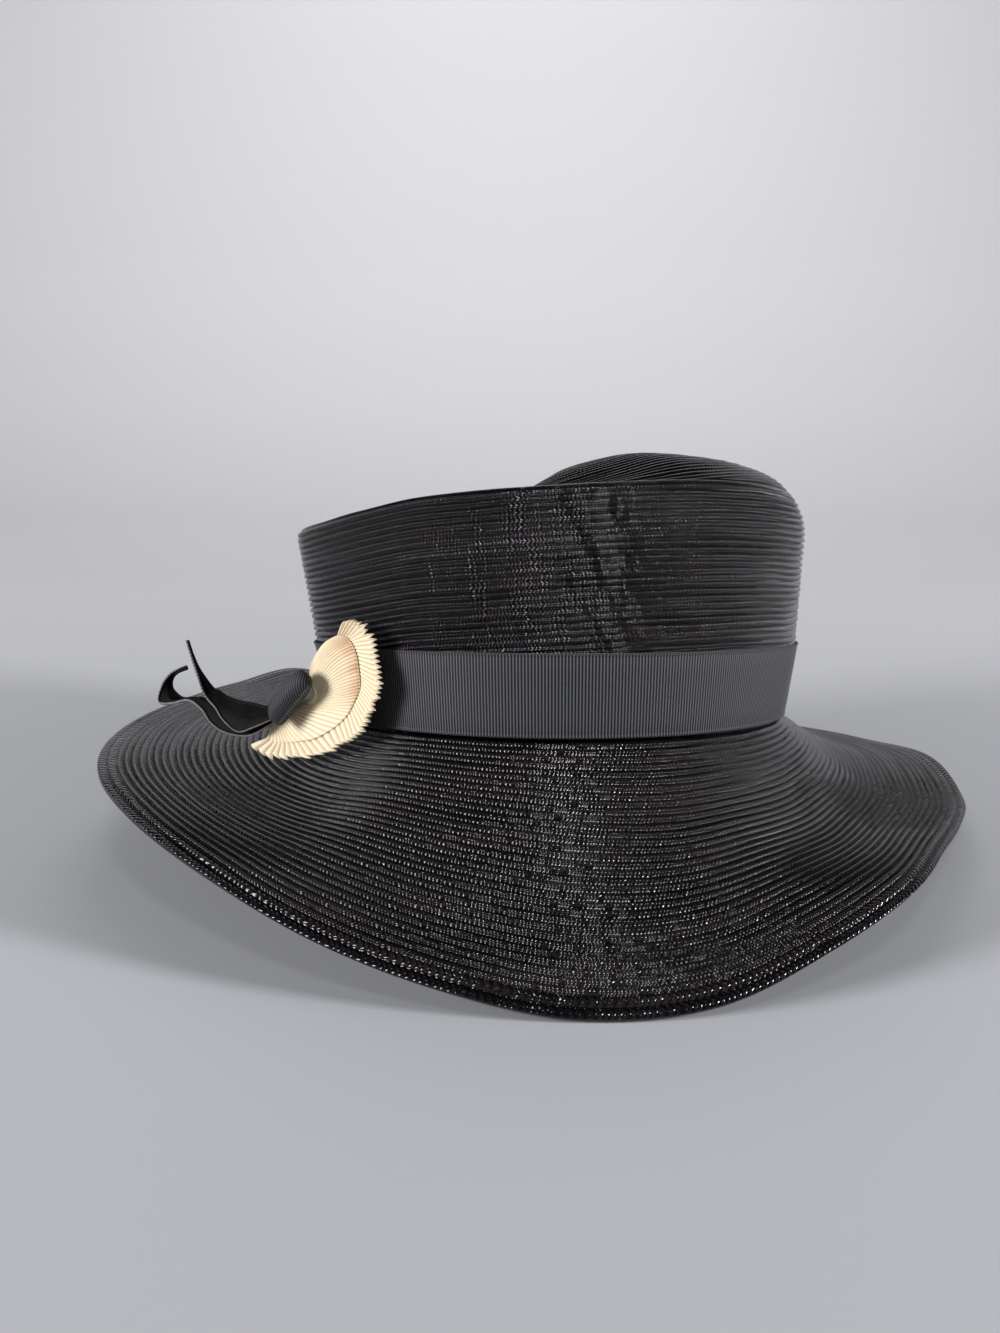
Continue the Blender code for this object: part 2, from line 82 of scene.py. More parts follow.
BRIM = table(
    "azimuth reach drop root quarter half seven_tenths edge",
    (0, 0.605, 0.800, 46, 52, 52, 54, 58),
    (15, 0.630, 0.770, 56, 56, 44, 42, 54),
    (30, 0.655, 0.635, 68, 58, 36, 28, 54),
    (45, 0.680, 0.520, 80, 56, 34, 12, 42),
    (60, 0.675, 0.460, 72, 58, 32, 8, 34),
    (75, 0.745, 0.435, 54, 58, 34, 10, 22),
    (90, 0.875, 0.405, 36, 48, 34, 12, 12),
    (105, 0.960, 0.290, 26, 34, 24, 10, 6),
    (120, 0.945, 0.265, 20, 24, 20, 10, 6),
    (135, 0.935, 0.240, 17, 18, 16, 12, 10),
    (150, 0.930, 0.230, 15, 14, 13, 12, 12),
    (165, 0.930, 0.195, 12, 11, 11, 10, 10),
    (180, 0.930, 0.160, 10, 9, 9, 10, 10),
    (195, 0.930, 0.185, 8, 8, 11, 14, 14),
    (210, 0.935, 0.080, 3, 2, 5, 6, 6),
    (225, 0.935, -0.085, -2, -5, -6, -6, -6),
    (240, 0.930, -0.035, 2, -2, -4, -4, -4),
    (255, 0.965, 0.025, 10, 4, 0, 0, 0),
    (270, 1.015, 0.105, 18, 10, 2, 0, 4),
    (285, 0.995, 0.190, 32, 22, 8, 2, 8),
    (300, 0.900, 0.295, 50, 36, 14, 4, 16),
    (315, 0.785, 0.440, 50, 42, 24, 14, 34),
    (330, 0.690, 0.600, 40, 40, 36, 40, 54),
    (345, 0.630, 0.720, 42, 46, 46, 50, 58),
)
SLOPES = ("root", "quarter", "half", "seven_tenths", "edge")
SLOPE_STATIONS = (0.0, 0.25, 0.5, 0.7, 1.0)
CROWN = table(
    "azimuth flare radius ridge rounding tenth quarter half three_quarters",
    (0, 0.30, 1.010, 0.828, 0.16, 0.805, 0.815, 0.900, 0.930),
    (15, 0.40, 1.010, 0.842, 0.18, 0.830, 0.865, 0.940, 0.955),
    (30, 0.55, 1.005, 0.852, 0.22, 0.850, 0.915, 0.975, 0.970),
    (45, 0.65, 0.992, 0.856, 0.35, 0.872, 0.935, 0.985, 0.972),
    (60, 0.72, 0.982, 0.860, 0.60, 0.885, 0.945, 0.990, 0.975),
    (75, 0.75, 0.974, 0.870, 0.85, 0.900, 0.955, 0.998, 0.978),
    (90, 0.80, 0.975, 0.880, 1.00, 0.905, 0.960, 1.000, 0.980),
    (120, 0.80, 0.985, 0.870, 1.00, 0.885, 0.930, 0.980, 0.970),
    (150, 0.60, 1.000, 0.840, 0.90, 0.850, 0.885, 0.935, 0.950),
    (180, 0.50, 1.000, 0.810, 0.75, 0.820, 0.845, 0.890, 0.920),
    (210, 0.60, 1.000, 0.770, 0.60, 0.775, 0.795, 0.830, 0.875),
    (240, 1.05, 1.015, 0.735, 0.45, 0.738, 0.750, 0.785, 0.840),
    (270, 1.20, 1.032, 0.722, 0.28, 0.715, 0.720, 0.750, 0.820),
    (285, 1.20, 1.032, 0.724, 0.20, 0.700, 0.700, 0.740, 0.815),
    (300, 1.10, 1.022, 0.735, 0.16, 0.705, 0.700, 0.735, 0.812),
    (315, 0.80, 1.012, 0.762, 0.14, 0.730, 0.715, 0.750, 0.820),
    (330, 0.50, 1.010, 0.796, 0.14, 0.760, 0.745, 0.785, 0.845),
    (345, 0.35, 1.010, 0.814, 0.15, 0.785, 0.775, 0.840, 0.890),
)
TIP_NAMES = ("ridge", "tenth", "quarter", "half", "three_quarters")
TIP_STATIONS = (0.0, 0.1, 0.25, 0.5, 0.75)
TIP_MIDDLE = 0.925

# %% Curves through the tables
FINE = 100
BEND_STEPS = 10
ARC_HANDLE = 0.55


def curve(stations, values, at):
    """A smooth curve through the values at the stations."""
    stations = np.asarray(stations, float)
    values = np.asarray(values, float)
    steps = np.diff(stations)
    rises = np.diff(values) / steps
    slopes = np.empty(len(values))
    slopes[1:-1] = (rises[:-1] * steps[1:] + rises[1:] * steps[:-1]) / (steps[:-1] + steps[1:])
    slopes[0] = rises[0]
    slopes[-1] = rises[-1]
    place = np.clip(np.searchsorted(stations, at, side="right") - 1, 0, len(steps) - 1)
    share = (at - stations[place]) / steps[place]
    rest = 1 - share
    return (
        values[place] * rest * rest * (1 + 2 * share)
        + values[place + 1] * share * share * (1 + 2 * rest)
        + steps[place] * share * rest * (slopes[place] * rest - slopes[place + 1] * share)
    )


def around(columns, name, azimuth):
    """One column of a table, read at any azimuth: the curve closes on itself."""
    turns = np.concatenate([columns["azimuth"] + whole for whole in (-360, 0, 360)])
    return curve(turns, np.tile(columns[name], 3), azimuth % 360)


def oval(half_width, half_length, azimuth):
    """Distance from the middle of an oval to its outline."""
    turn = np.radians(azimuth)
    return 1 / np.hypot(np.sin(turn) / half_width, np.cos(turn) / half_length)


def wall_radius(azimuth, height):
    """The outside of the crown's wall where the band lies."""
    flare = around(CROWN, "flare", azimuth) * WALL_FLARE
    return oval(HEAD_HALF_WIDTH, HEAD_HALF_LENGTH, azimuth) + flare * height / BAND_TOP


def brim_section(azimuth):
    """Radius and height from the brim's root to its edge, its slopes followed from one end to the other."""
    shares = np.linspace(0, 1, FINE + 1)
    slopes = [around(BRIM, name, azimuth) for name in SLOPES]
    slope = np.radians(curve(SLOPE_STATIONS, slopes, (shares[1:] + shares[:-1]) / 2))
    path = np.concatenate([[0], np.cumsum(np.exp(-1j * slope))])
    edge = around(BRIM, "reach", azimuth) - 1j * around(BRIM, "drop", azimuth)
    path *= BRIM_WIDTH * edge / path[-1]
    return np.stack([wall_radius(azimuth, 0) + path.real, path.imag], axis=1)


def tip_line(azimuth):
    """Radius and height across the whole tip, from the ridge at this azimuth to the ridge opposite."""
    radii = []
    heights = []
    for turn, side in ((azimuth, 1), (azimuth + 180, -1)):
        radius = around(CROWN, "radius", turn) * oval(CROWN_HALF_WIDTH, CROWN_HALF_LENGTH, turn)
        radii.append([side * radius * (1 - share) for share in TIP_STATIONS])
        heights.append([around(CROWN, name, turn) * CROWN_HEIGHT for name in TIP_NAMES])
    radii = np.array(radii[0] + [0] + radii[1][::-1])
    heights = np.array(heights[0] + [TIP_MIDDLE * CROWN_HEIGHT] + heights[1][::-1])
    return radii[::-1], heights[::-1]


def crown_section(azimuth):
    """The crown's wall from the band's top to the ridge, and its tip from the ridge to the middle."""
    radii, heights = tip_line(azimuth)
    ridge = np.array([radii[-1], heights[-1]])
    knee = np.array([wall_radius(azimuth, BAND_TOP), BAND_TOP])
    rounding = around(CROWN, "rounding", azimuth) * RIDGE_ROUNDING
    up = (ridge - knee) / np.linalg.norm(ridge - knee)
    inner = np.linspace(ridge[0] - rounding, 0, FINE + 1)
    tip = np.stack([inner, curve(radii, heights, inner)], axis=1)
    out = (tip[0] - tip[1]) / np.linalg.norm(tip[0] - tip[1])
    handle = ARC_HANDLE * rounding
    corners = (ridge - up * rounding, ridge - up * (rounding - handle), tip[0] + out * handle, tip[0])
    share = np.linspace(0, 1, 2 * BEND_STEPS + 1)[:, None]
    rest = 1 - share
    bend = (
        rest**3 * corners[0]
        + 3 * rest**2 * share * corners[1]
        + 3 * rest * share**2 * corners[2]
        + share**3 * corners[3]
    )
    return np.concatenate([[knee], bend[: BEND_STEPS + 1]]), np.concatenate([bend[BEND_STEPS:], tip[1:]])


def turned(section, azimuth):
    """Points in space from radii and heights at one azimuth."""
    turn = np.radians(azimuth)
    radii, heights = section.T
    return np.stack([radii * np.sin(turn), -radii * np.cos(turn), heights], axis=1)


print("brim's edge in front", turned(brim_section(0.0)[-1:], 0.0).round(1))

# %% [markdown]
# ## Laying the hat down
# By itself the hat rests on three points of its brim's edge, tipped back a little, and the model's own
# frame is that of the resting hat. One turn and one shift take every drawn point there, and they take the
# camera along too.

# %% The resting place
WAY_UP = Vector((0.00531, -0.16081, 0.98697))
REST_SHIFT = np.array([4.141, -6.988, 44.36])
REST_TURN = WAY_UP.rotation_difference(Vector((0, 0, 1))).to_matrix()


def laid(points):
    """Points of the hat's own frame, in millimetres, where they rest, in metres."""
    return (np.asarray(points) @ np.array(REST_TURN).T + REST_SHIFT) * MM


print("a point of the brim's edge in front rests at", laid([0.0, -143.0, -68.3]).round(4))

# %% [markdown]
# ## One way to make a woven surface
# A grid primitive is the start of every piece. Its points are laid on the computed surface, and its UV map
# keeps the millimetres along the weave and the rows across it, which the materials read. Where the grid
# comes round to itself its doubles are merged. Drawing each of the thousands of points by hand would give
# nothing more.

# %% Helpers for making pieces
MERGE_DISTANCE = 0.001 * MM


def deselect():
    bpy.ops.object.select_all(action="DESELECT")


def woven_grid(name, points, along, across):
    """A grid primitive laid on points, with the way along the weave and the place across it as its UV map.

    The distance along is given for each row of points, or for each row of faces where it jumps between them.
    """
    rows, columns = points.shape[:2]
    deselect()
    bpy.ops.mesh.primitive_grid_add(x_subdivisions=columns - 1, y_subdivisions=rows - 1, size=2)
    piece = bpy.context.object
    piece.name = name
    mesh = piece.data
    mesh.name = name
    plain = np.empty(len(mesh.vertices) * 3)
    mesh.vertices.foreach_get("co", plain)
    share = (plain.reshape(-1, 3)[:, :2] + 1) / 2
    column = (share[:, 0] * (columns - 1)).round().astype(int)
    row = (share[:, 1] * (rows - 1)).round().astype(int)
    mesh.vertices.foreach_set("co", laid(points[row, column]).ravel())
    corners = np.empty(len(mesh.loops), int)
    mesh.loops.foreach_get("vertex_index", corners)
    row = row[corners]
    column = column[corners]
    lowest = row.reshape(-1, 4).min(axis=1).repeat(4)
    reach = along[lowest if len(along) < rows else row, column]
    mesh.uv_layers.active.name = "weave"
    mesh.uv_layers.active.data.foreach_set("uv", np.stack([reach, across[row, column]], axis=1).ravel())
    mesh.shade_smooth()
    mesh.update()
    return piece


def closed_up(piece, filled=True):
    """Merges a grid's doubles, fills open ends unless they stay open, and points all faces out."""
    bpy.ops.object.mode_set(mode="EDIT")
    bpy.ops.mesh.select_all(action="SELECT")
    bpy.ops.mesh.remove_doubles(threshold=MERGE_DISTANCE)
    bpy.ops.mesh.select_all(action="SELECT")
    if filled:
        bpy.ops.mesh.fill_holes(sides=0)
        bpy.ops.mesh.select_all(action="SELECT")
    bpy.ops.mesh.normals_make_consistent(inside=False)
    bpy.ops.object.mode_set(mode="OBJECT")
    return piece


def tell(piece):
    """Prints what was made."""
    mesh = piece.data
    mesh.calc_loop_triangles()
    spans = [round(1000 * size) for size in piece.dimensions]
    print(piece.name, len(mesh.loop_triangles), "triangles", spans, "mm")


# %% Helpers for paths
def walked_along(path):
    """Distance along a path at each of its points."""
    return np.concatenate([[0], np.cumsum(np.linalg.norm(np.diff(path, axis=0), axis=1))])


def offset_path(path, distances, heights):
    """Points at distances along a flat path, each moved off it to its left by its height."""
    walked = walked_along(path)
    ways = np.gradient(path, walked, axis=0)
    points = np.stack([np.interp(distances, walked, column) for column in path.T], axis=1)
    ways = np.stack([np.interp(distances, walked, column) for column in ways.T], axis=1)
    ways /= np.linalg.norm(ways, axis=1)[:, None]
    left = np.stack([-ways[:, 1], ways[:, 0]], axis=1)
    return points + left * np.asarray(heights)[:, None]


def wander(rows, azimuths, size, seed):
    """A smooth unevenness round the hat, different in each row."""
    chance = np.random.default_rng(seed)
    field = np.zeros((rows, len(azimuths)))
    for waves in (2, 3, 5, 8, 13, 21):
        start = chance.uniform(0, 2 * np.pi, (rows, 1))
        field += chance.normal(0, 1, (rows, 1)) * np.cos(waves * np.radians(azimuths) + start)
    return size * field / field.std()


# %% [markdown]
# ## Straw braid, sewn in rows
# The hat's body is a narrow plait of shiny straw, sewn round and round so that each turn overlaps the last
# one. The rows are real relief: each rises to a lip and drops into the groove beside the next row. The
# plait's crossing strands are about a millimetre wide, too fine for the mesh, so the material raises them.
# One section is drawn for each direction round the hat, outer side, edge and inner side, and the sections
# together are one closed shell.

# %% Row relief
ROW_RELIEF = ((0.00, -0.85), (0.20, -0.05), (0.58, 0.36), (0.90, 0.34))
INNER_RELIEF = ((0.10, 0.25), (0.60, -0.20))
PLAIN_DEPTH = -0.1
COARSE_BEADS = 0.55
ROW_WANDER = 0.10
ROW_SWELL = 0.16


def row_stations(edges, relief):
    """Distances and heights of all the points of rows that lie between the edges."""
    widths = np.diff(edges)
    distances = [start + width * share for start, width in zip(edges, widths) for share, height in relief]
    heights = [height for start in widths for share, height in relief]
    return np.array(distances), np.array(heights)


def straw_shell(name, azimuths, path_at, edges_at, rest_at, plain_until, seed, coarse_rows=0):
    """A closed shell of braid rows: path_at gives the outer side's section and edges_at the rows along it."""
    count = len(edges_at(azimuths[0])) - 1
    shifts = wander(count, azimuths, ROW_WANDER, seed)
    swells = 1 + wander(count, azimuths, ROW_SWELL, seed + 1)
    sections = []
    for column, azimuth in enumerate(azimuths):
        path = path_at(azimuth)
        edges = edges_at(azimuth)
        before, after = rest_at(azimuth, walked_along(path)[-1])
        loose = edges.copy()
        loose[1:-1] += shifts[1:, column]
        outer, heights = row_stations(loose, ROW_RELIEF)
        heights = heights * np.repeat(swells[:, column], len(ROW_RELIEF))
        inner, depths = row_stations(edges, INNER_RELIEF)
        outer = np.concatenate([before, outer, after])
        heights = np.concatenate([0 * before, heights, 0 * after])
        heights = np.where(plain_until(azimuth, outer), np.minimum(heights, PLAIN_DEPTH), heights)
        inner = np.concatenate([before, inner, after])[::-1]
        depths = np.concatenate([0 * before, depths, 0 * after])[::-1]
        outside = offset_path(path, outer, heights)
        inside = offset_path(path, inner, -STRAW_WALL - depths)
        sections.append(np.concatenate([outside, inside, outside[:1]]))
    points = np.stack([turned(section, azimuth) for section, azimuth in zip(sections, azimuths)], axis=1)
    rows = np.arange(count)[:, None]
    places = []
    for relief in (ROW_RELIEF, INNER_RELIEF):
        inside_rows = (rows + np.array([share for share, height in relief])).ravel()
        places.append(np.concatenate([0 * before, inside_rows, 0 * after + count]))
    place = np.concatenate([places[0], places[1][::-1], [0.0]])
    steps = np.linalg.norm(np.diff(points, axis=1), axis=2)
    walked = np.concatenate([np.zeros((len(points), 1)), np.cumsum(steps, axis=1)], axis=1)
    row_of_face = np.clip(0.5 * (place[1:] + place[:-1]), 0, count - 0.5).astype(int)
    along = walked[len(before) + len(ROW_RELIEF) * row_of_face + 2]
    along[row_of_face >= count - coarse_rows] *= COARSE_BEADS
    return closed_up(woven_grid(name, points, along, np.tile(place[:, None], (1, len(azimuths)))))


# %% [markdown]
# ### Brim
# The brim has 34 rows between the band and its edge. The last two are wider, because the braid is doubled
# there to stiffen the edge. Its root runs up inside the band as a short upstand.

# %% Make the brim
BRIM_ROWS = 34
EDGE_ROWS = 2
EDGE_ROW_WIDTH = 1.35
BRIM_COLUMNS = 400
BRIM_SEED = 11


def brim_path(azimuth):
    """The brim's outer side from the top of its upstand to its edge."""
    upstand = np.array([[wall_radius(azimuth, UPSTAND), UPSTAND]])
    return np.concatenate([upstand, brim_section(azimuth)])


def brim_edges(azimuth):
    """Distances along the path where one row ends and the next begins."""
    length = walked_along(brim_path(azimuth))[-1]
    widths = np.ones(BRIM_ROWS)
    widths[-EDGE_ROWS:] = EDGE_ROW_WIDTH
    shares = np.concatenate([[0], np.cumsum(widths)]) / widths.sum()
    return UPSTAND + (length - UPSTAND) * shares


def brim_rest(azimuth, length):
    """Distances of the plain points before the first row and after the last."""
    return np.array([0.0, 0.6 * UPSTAND]), np.array([length])


def on_upstand(azimuth, distances):
    return distances < UPSTAND


brim_azimuths = np.linspace(180, 540, BRIM_COLUMNS + 1)
straw_brim = straw_shell(
    "straw_brim", brim_azimuths, brim_path, brim_edges, brim_rest, on_upstand, BRIM_SEED, EDGE_ROWS
)
tell(straw_brim)

# %% [markdown]
# ### Crown
# The crown is sewn from the middle of its tip outwards, so its path is drawn that way too: 37 rows across
# the tip, then rows of constant width down the wall, which follow the slanting ridge and disappear behind
# the band.

# %% Make the crown
TIP_ROWS = 37
WALL_ROWS = 27
WALL_ROW_WIDTH = 2.13
CROWN_COLUMNS = 300
CROWN_SEED = 23
BEHIND_BAND = 0.5


def crown_path(azimuth):
    """The crown's outer side from the middle of its tip to the foot of its wall."""
    wall, tip = crown_section(azimuth)
    foot_height = UPSTAND + GAP
    foot = np.array([[wall_radius(azimuth, foot_height), foot_height]])
    return np.concatenate([foot, wall, tip[1:]])[::-1]


def crown_edges(azimuth):
    wall, tip = crown_section(azimuth)
    across = walked_along(tip)[-1]
    shares = np.arange(TIP_ROWS + 1) / TIP_ROWS
    return np.concatenate([across * shares, across + WALL_ROW_WIDTH * np.arange(1, WALL_ROWS + 1)])


def crown_rest(azimuth, length):
    return np.array([0.0]), np.array([0.5 * (crown_edges(azimuth)[-1] + length), length])


def behind_band(azimuth, distances):
    path = crown_path(azimuth)
    heights = np.interp(distances, walked_along(path), path[:, 1])
    return heights < BAND_TOP - BEHIND_BAND


crown_azimuths = np.linspace(180, 540, CROWN_COLUMNS + 1)
straw_crown = straw_shell(
    "straw_crown", crown_azimuths, crown_path, crown_edges, crown_rest, behind_band, CROWN_SEED
)
tell(straw_crown)

# %% [markdown]
# ## Grosgrain ribbon
# Grosgrain is a ribbon with thick weft cords: fine ribs run across its width, about one to a millimetre,
# and its selvedges are tight little rolls. The ribs are modelled, four points to a rib. A ribbon's section
# has a front, two rolled selvedges and a back, so that each ribbon is a closed thin body.

# %% A ribbon's section
RIB_PITCH = 0.95
POINTS_PER_RIB = 4
RIB_RELIEF = np.array([0.0, 0.11, 0.16, 0.11])
SELVEDGE = 1.1


def ribbon_section(width, steps):
    """Places across a ribbon, from one edge over the front to the other and back, and shares of its wall."""
    roll = np.array([(0.0, 0.5), (0.12, 0.9), (0.45, 1.1), (0.8, 1.05), (1.0, 0.85), (1.25, 0.95)])
    near = roll * np.array([SELVEDGE, 1])
    far = near[::-1] * np.array([-1, 1]) + np.array([width, 0])
    between = np.linspace(near[-1, 0], far[0, 0], steps + 1)[1:-1]
    middle = np.stack([between, np.ones(steps - 1)], axis=1)
    back = np.array([(width - 0.3, 0.1), (width - 1.6, 0.0), (0.5 * width, 0.0), (1.6, 0.0), (0.3, 0.1)])
    return np.concatenate([near, middle, far, back, near[:1]])


# %% [markdown]
# ### Band
# The band is stretched flat round the foot of the crown and follows its flare.

# %% Make the band
def band_circumference():
    azimuths = np.linspace(0, 360, 721)
    ring = np.stack([turned(np.array([[wall_radius(a, BAND_TOP / 2), 0]]), a)[0] for a in azimuths])
    return walked_along(ring)[-1]


band_length = band_circumference()
band_ribs = int(round(band_length / RIB_PITCH))
band_azimuths = np.linspace(0, 360, POINTS_PER_RIB * band_ribs + 1)
band_section = ribbon_section(BAND_WIDTH, 5)
section_places = band_section[:, 0]
section_walls = band_section[:, 1]
rib_heights = np.resize(RIB_RELIEF, len(band_azimuths))
rib_heights[-1] = rib_heights[0]
on_front = (section_walls > 0.5).astype(float)
band_points = []
for azimuth, rib in zip(band_azimuths, rib_heights):
    heights = BAND_RISE + section_places
    lift = GAP + RIBBON_WALL * section_walls + (rib - RIB_RELIEF.max()) * on_front
    radii = wall_radius(azimuth, heights) + lift
    band_points.append(turned(np.stack([radii, heights], axis=1), azimuth))
band_points = np.stack(band_points, axis=1)
edge_distance = np.minimum(section_places, BAND_WIDTH - section_places)
band_along = np.tile(band_azimuths / 360 * band_ribs * RIB_PITCH, (len(band_section), 1))
band_across = np.tile(edge_distance[:, None], (1, len(band_azimuths)))
grosgrain_band = closed_up(woven_grid("grosgrain_band", band_points, band_along, band_across))
tell(grosgrain_band)

# %% [markdown]
# ## The place of the ornament
# The pleated fan stands on a flat place to the left of the band's middle, turned outwards. Everything of
# the ornament is drawn on that plane: right, up and out in front.

# %% Fan and bow sizes
FAN_RADIUS = 36.0
FAN_PLEATS = 46
FAN_SWEEP_START = 73.0
FAN_SWEEP_END = -146.0
FAN_TUCK = 3.0
FAN_DOME = 4.0
FAN_RIM_LIFT = 2.5
FAN_AZIMUTH = 300.0
FAN_FACING = 318.0
FAN_HEIGHT = 10.0
FAN_STANDOFF = 14.0
PLEAT_STEEPNESS = 0.55
KNOT_WIDTH = 7.5
KNOT_DEPTH = 5.0
KNOT_TURN = 40.0
KNOT_CROWN = 1.6
KNOT_SHIFT = 7.5
TAIL_LENGTH = 60.0
TAIL_INSET = 4.0
RIBBON_LAYER = RIBBON_WALL + 2 * GAP
FAN = table(
    "angle rim crease",
    (-146, 0.88, 0.78),
    (-130, 0.78, 0.69),
    (-116, 0.66, 0.59),
    (-98, 0.60, 0.54),
    (-75, 0.56, 0.50),
    (-50, 0.63, 0.55),
    (-40, 0.69, 0.59),
    (-25, 0.85, 0.66),
    (-10, 0.98, 0.74),
    (0, 1.03, 0.78),
    (15, 1.09, 0.82),
    (30, 1.11, 0.84),
    (40, 1.10, 0.85),
    (47, 1.06, 0.84),
    (52, 0.84, 0.80),
    (57, 0.64, 0.62),
    (64, 0.49, 0.48),
    (73, 0.40, 0.39),
)
OUTER_TAIL = table(
    "low_left low_back low_up high_left high_back high_up",
    (0.165, 0.015, -0.16, 0.180, 0.050, -0.08),
    (0.30, 0.13, -0.24, 0.33, 0.25, -0.12),
    (0.41, 0.23, -0.26, 0.45, 0.36, -0.10),
    (0.53, 0.31, -0.24, 0.54, 0.44, -0.07),
    (0.61, 0.36, -0.19, 0.60, 0.48, -0.06),
    (0.67, 0.41, -0.12, 0.65, 0.51, -0.06),
    (0.77, 0.49, -0.07, 0.74, 0.57, -0.06),
    (0.90, 0.60, -0.10, 0.84, 0.67, -0.07),
    (1.00, 0.67, -0.10, 0.90, 0.70, -0.03),
    (0.98, 0.67, -0.01, 0.91, 0.70, 0.01),
    (0.92, 0.65, 0.07, 0.89, 0.67, 0.05),
    (0.86, 0.64, 0.11, 0.85, 0.64, 0.08),
    (0.81, 0.625, 0.13, 0.80, 0.62, 0.10),
)
INNER_TAIL = table(
    "low_left low_back low_up high_left high_back high_up",
    (0.150, -0.045, -0.13, 0.165, -0.030, -0.05),
    (0.28, 0.05, -0.19, 0.30, 0.12, -0.05),
    (0.40, 0.17, -0.23, 0.41, 0.27, -0.05),
    (0.50, 0.24, -0.17, 0.49, 0.33, -0.03),
    (0.55, 0.27, -0.10, 0.54, 0.35, 0.00),
    (0.62, 0.30, -0.02, 0.58, 0.37, 0.02),
    (0.67, 0.33, 0.12, 0.65, 0.37, 0.12),
    (0.71, 0.35, 0.22, 0.69, 0.37, 0.21),
    (0.737, 0.36, 0.295, 0.717, 0.37, 0.295),
)

# %% The flat place to draw on
class Plane:
    """A flat place to draw on: a middle, a way right, a way up and a way out in front."""

    def __init__(self, middle, facing, turn=0.0):
        angle = np.radians(facing)
        self.middle = middle
        self.towards = np.array([np.sin(angle), -np.cos(angle), 0])
        level = np.array([np.cos(angle), np.sin(angle), 0])
        tilt = np.radians(turn)
        self.right = level * np.cos(tilt) + np.array([0, 0, np.sin(tilt)])
        self.up = np.cross(self.towards, self.right)

    def at(self, right, up, towards):
        """Points in space from distances on the plane and in front of it."""
        parts = zip((right, up, towards), (self.right, self.up, self.towards))
        return self.middle + sum(np.asarray(size)[..., None] * way for size, way in parts)


fan_radius = wall_radius(FAN_AZIMUTH, FAN_HEIGHT) + GAP + RIBBON_WALL + FAN_STANDOFF
plane = Plane(turned(np.array([[fan_radius, FAN_HEIGHT]]), FAN_AZIMUTH)[0], FAN_FACING)
print("the fan's middle rests at", laid(plane.middle).round(4))


def rim(angles):
    return curve(FAN["angle"], FAN["rim"], angles) * FAN_RADIUS


def crease(angles):
    return curve(FAN["angle"], FAN["crease"], angles) * FAN_RADIUS


def inner_lift(radius, angles):
    """The inner fan is a shallow cone that meets its own plane at the crease."""
    return FAN_DOME * (1 - radius / crease(angles))


def fan_front(right, up):
    """Height of the pleats' tops in front of the plane."""
    radius = np.hypot(right, up)
    half_pleat = np.radians(FAN_SWEEP_START - FAN_SWEEP_END) / (2 * FAN_PLEATS)
    return inner_lift(radius, np.degrees(np.arctan2(up, right))) + radius * half_pleat * PLEAT_STEEPNESS


# %% [markdown]
# ## Pleated fan
# A cream ribbon is pleated so tightly that it opens like a shell. Its pleats start under the knot and bend
# as they run out to a crease; past the crease the same pleats fold over forwards, slant, and end in a
# toothed edge with a picot, a line of tiny loops. A few pleats are drawn from the table and all the others
# follow between them. Each pleat has six points across: a rise, a round top and a sharp fall, which makes
# the thin dark line beside it.

# %% Pleats across and rings outwards
PLEAT_POINTS = 6
PLEAT_RELIEF = np.array([0.0, 0.5, 0.8, 0.95, 1.0, 0.75])
FAN_CLOTH = 0.4
INNER_STEEPNESS = 0.5
OUTER_STEEPNESS = 0.85
PLEATS = table(
    "number root_right root_up mid_right mid_up crease_right crease_up rim_right rim_up",
    (0, 0.23, 0.19, 0.27, 0.43, 0.52, 0.57, 0.68, 0.69),
    (4, 0.27, 0.11, 0.30, 0.37, 0.64, 0.56, 0.91, 0.70),
    (8, 0.28, 0.06, 0.40, 0.33, 0.72, 0.51, 1.07, 0.56),
    (12, 0.29, 0.03, 0.51, 0.27, 0.79, 0.40, 1.14, 0.38),
    (16, 0.27, 0.01, 0.55, 0.17, 0.82, 0.26, 1.15, 0.20),
    (20, 0.25, -0.01, 0.55, 0.07, 0.83, 0.14, 1.10, 0.04),
    (25, 0.20, -0.06, 0.49, -0.04, 0.76, -0.01, 1.01, -0.14),
    (29, 0.10, -0.10, 0.39, -0.12, 0.66, -0.15, 0.84, -0.29),
    (32, -0.01, -0.15, 0.23, -0.22, 0.49, -0.27, 0.68, -0.38),
    (35, -0.11, -0.20, 0.03, -0.29, 0.22, -0.39, 0.47, -0.47),
    (38, -0.20, -0.24, -0.14, -0.33, -0.03, -0.44, 0.19, -0.54),
    (41, -0.27, -0.26, -0.26, -0.35, -0.23, -0.47, -0.14, -0.57),
    (44, -0.34, -0.28, -0.37, -0.36, -0.40, -0.47, -0.45, -0.57),
    (46, -0.40, -0.30, -0.44, -0.37, -0.53, -0.44, -0.68, -0.51),
)
pleat_columns = FAN_PLEATS * PLEAT_POINTS + 1
pleat_number = np.arange(pleat_columns) / PLEAT_POINTS
pleat_relief = np.resize(PLEAT_RELIEF, pleat_columns)


def pleat_line(name):
    """Right and up of one of the table's lines, for every column of the pleats."""
    ways = [PLEATS[name + "_right"], PLEATS[name + "_up"]]
    return np.stack([curve(PLEATS["number"], way, pleat_number) for way in ways], axis=1) * FAN_RADIUS


def relief_of(places, steepness, most):
    """Height of the pleats' round tops and sharp falls, in step with the room that each pleat has."""
    apart = np.linalg.norm(np.gradient(places, axis=1), axis=2) * PLEAT_POINTS
    return np.minimum(apart * steepness, most) * pleat_relief


def lift_of(places):
    """Height of the inner fan's cone at places on the plane."""
    angles = np.degrees(np.arctan2(places[..., 1], places[..., 0]))
    return np.maximum(inner_lift(np.linalg.norm(places, axis=-1), angles), 0)


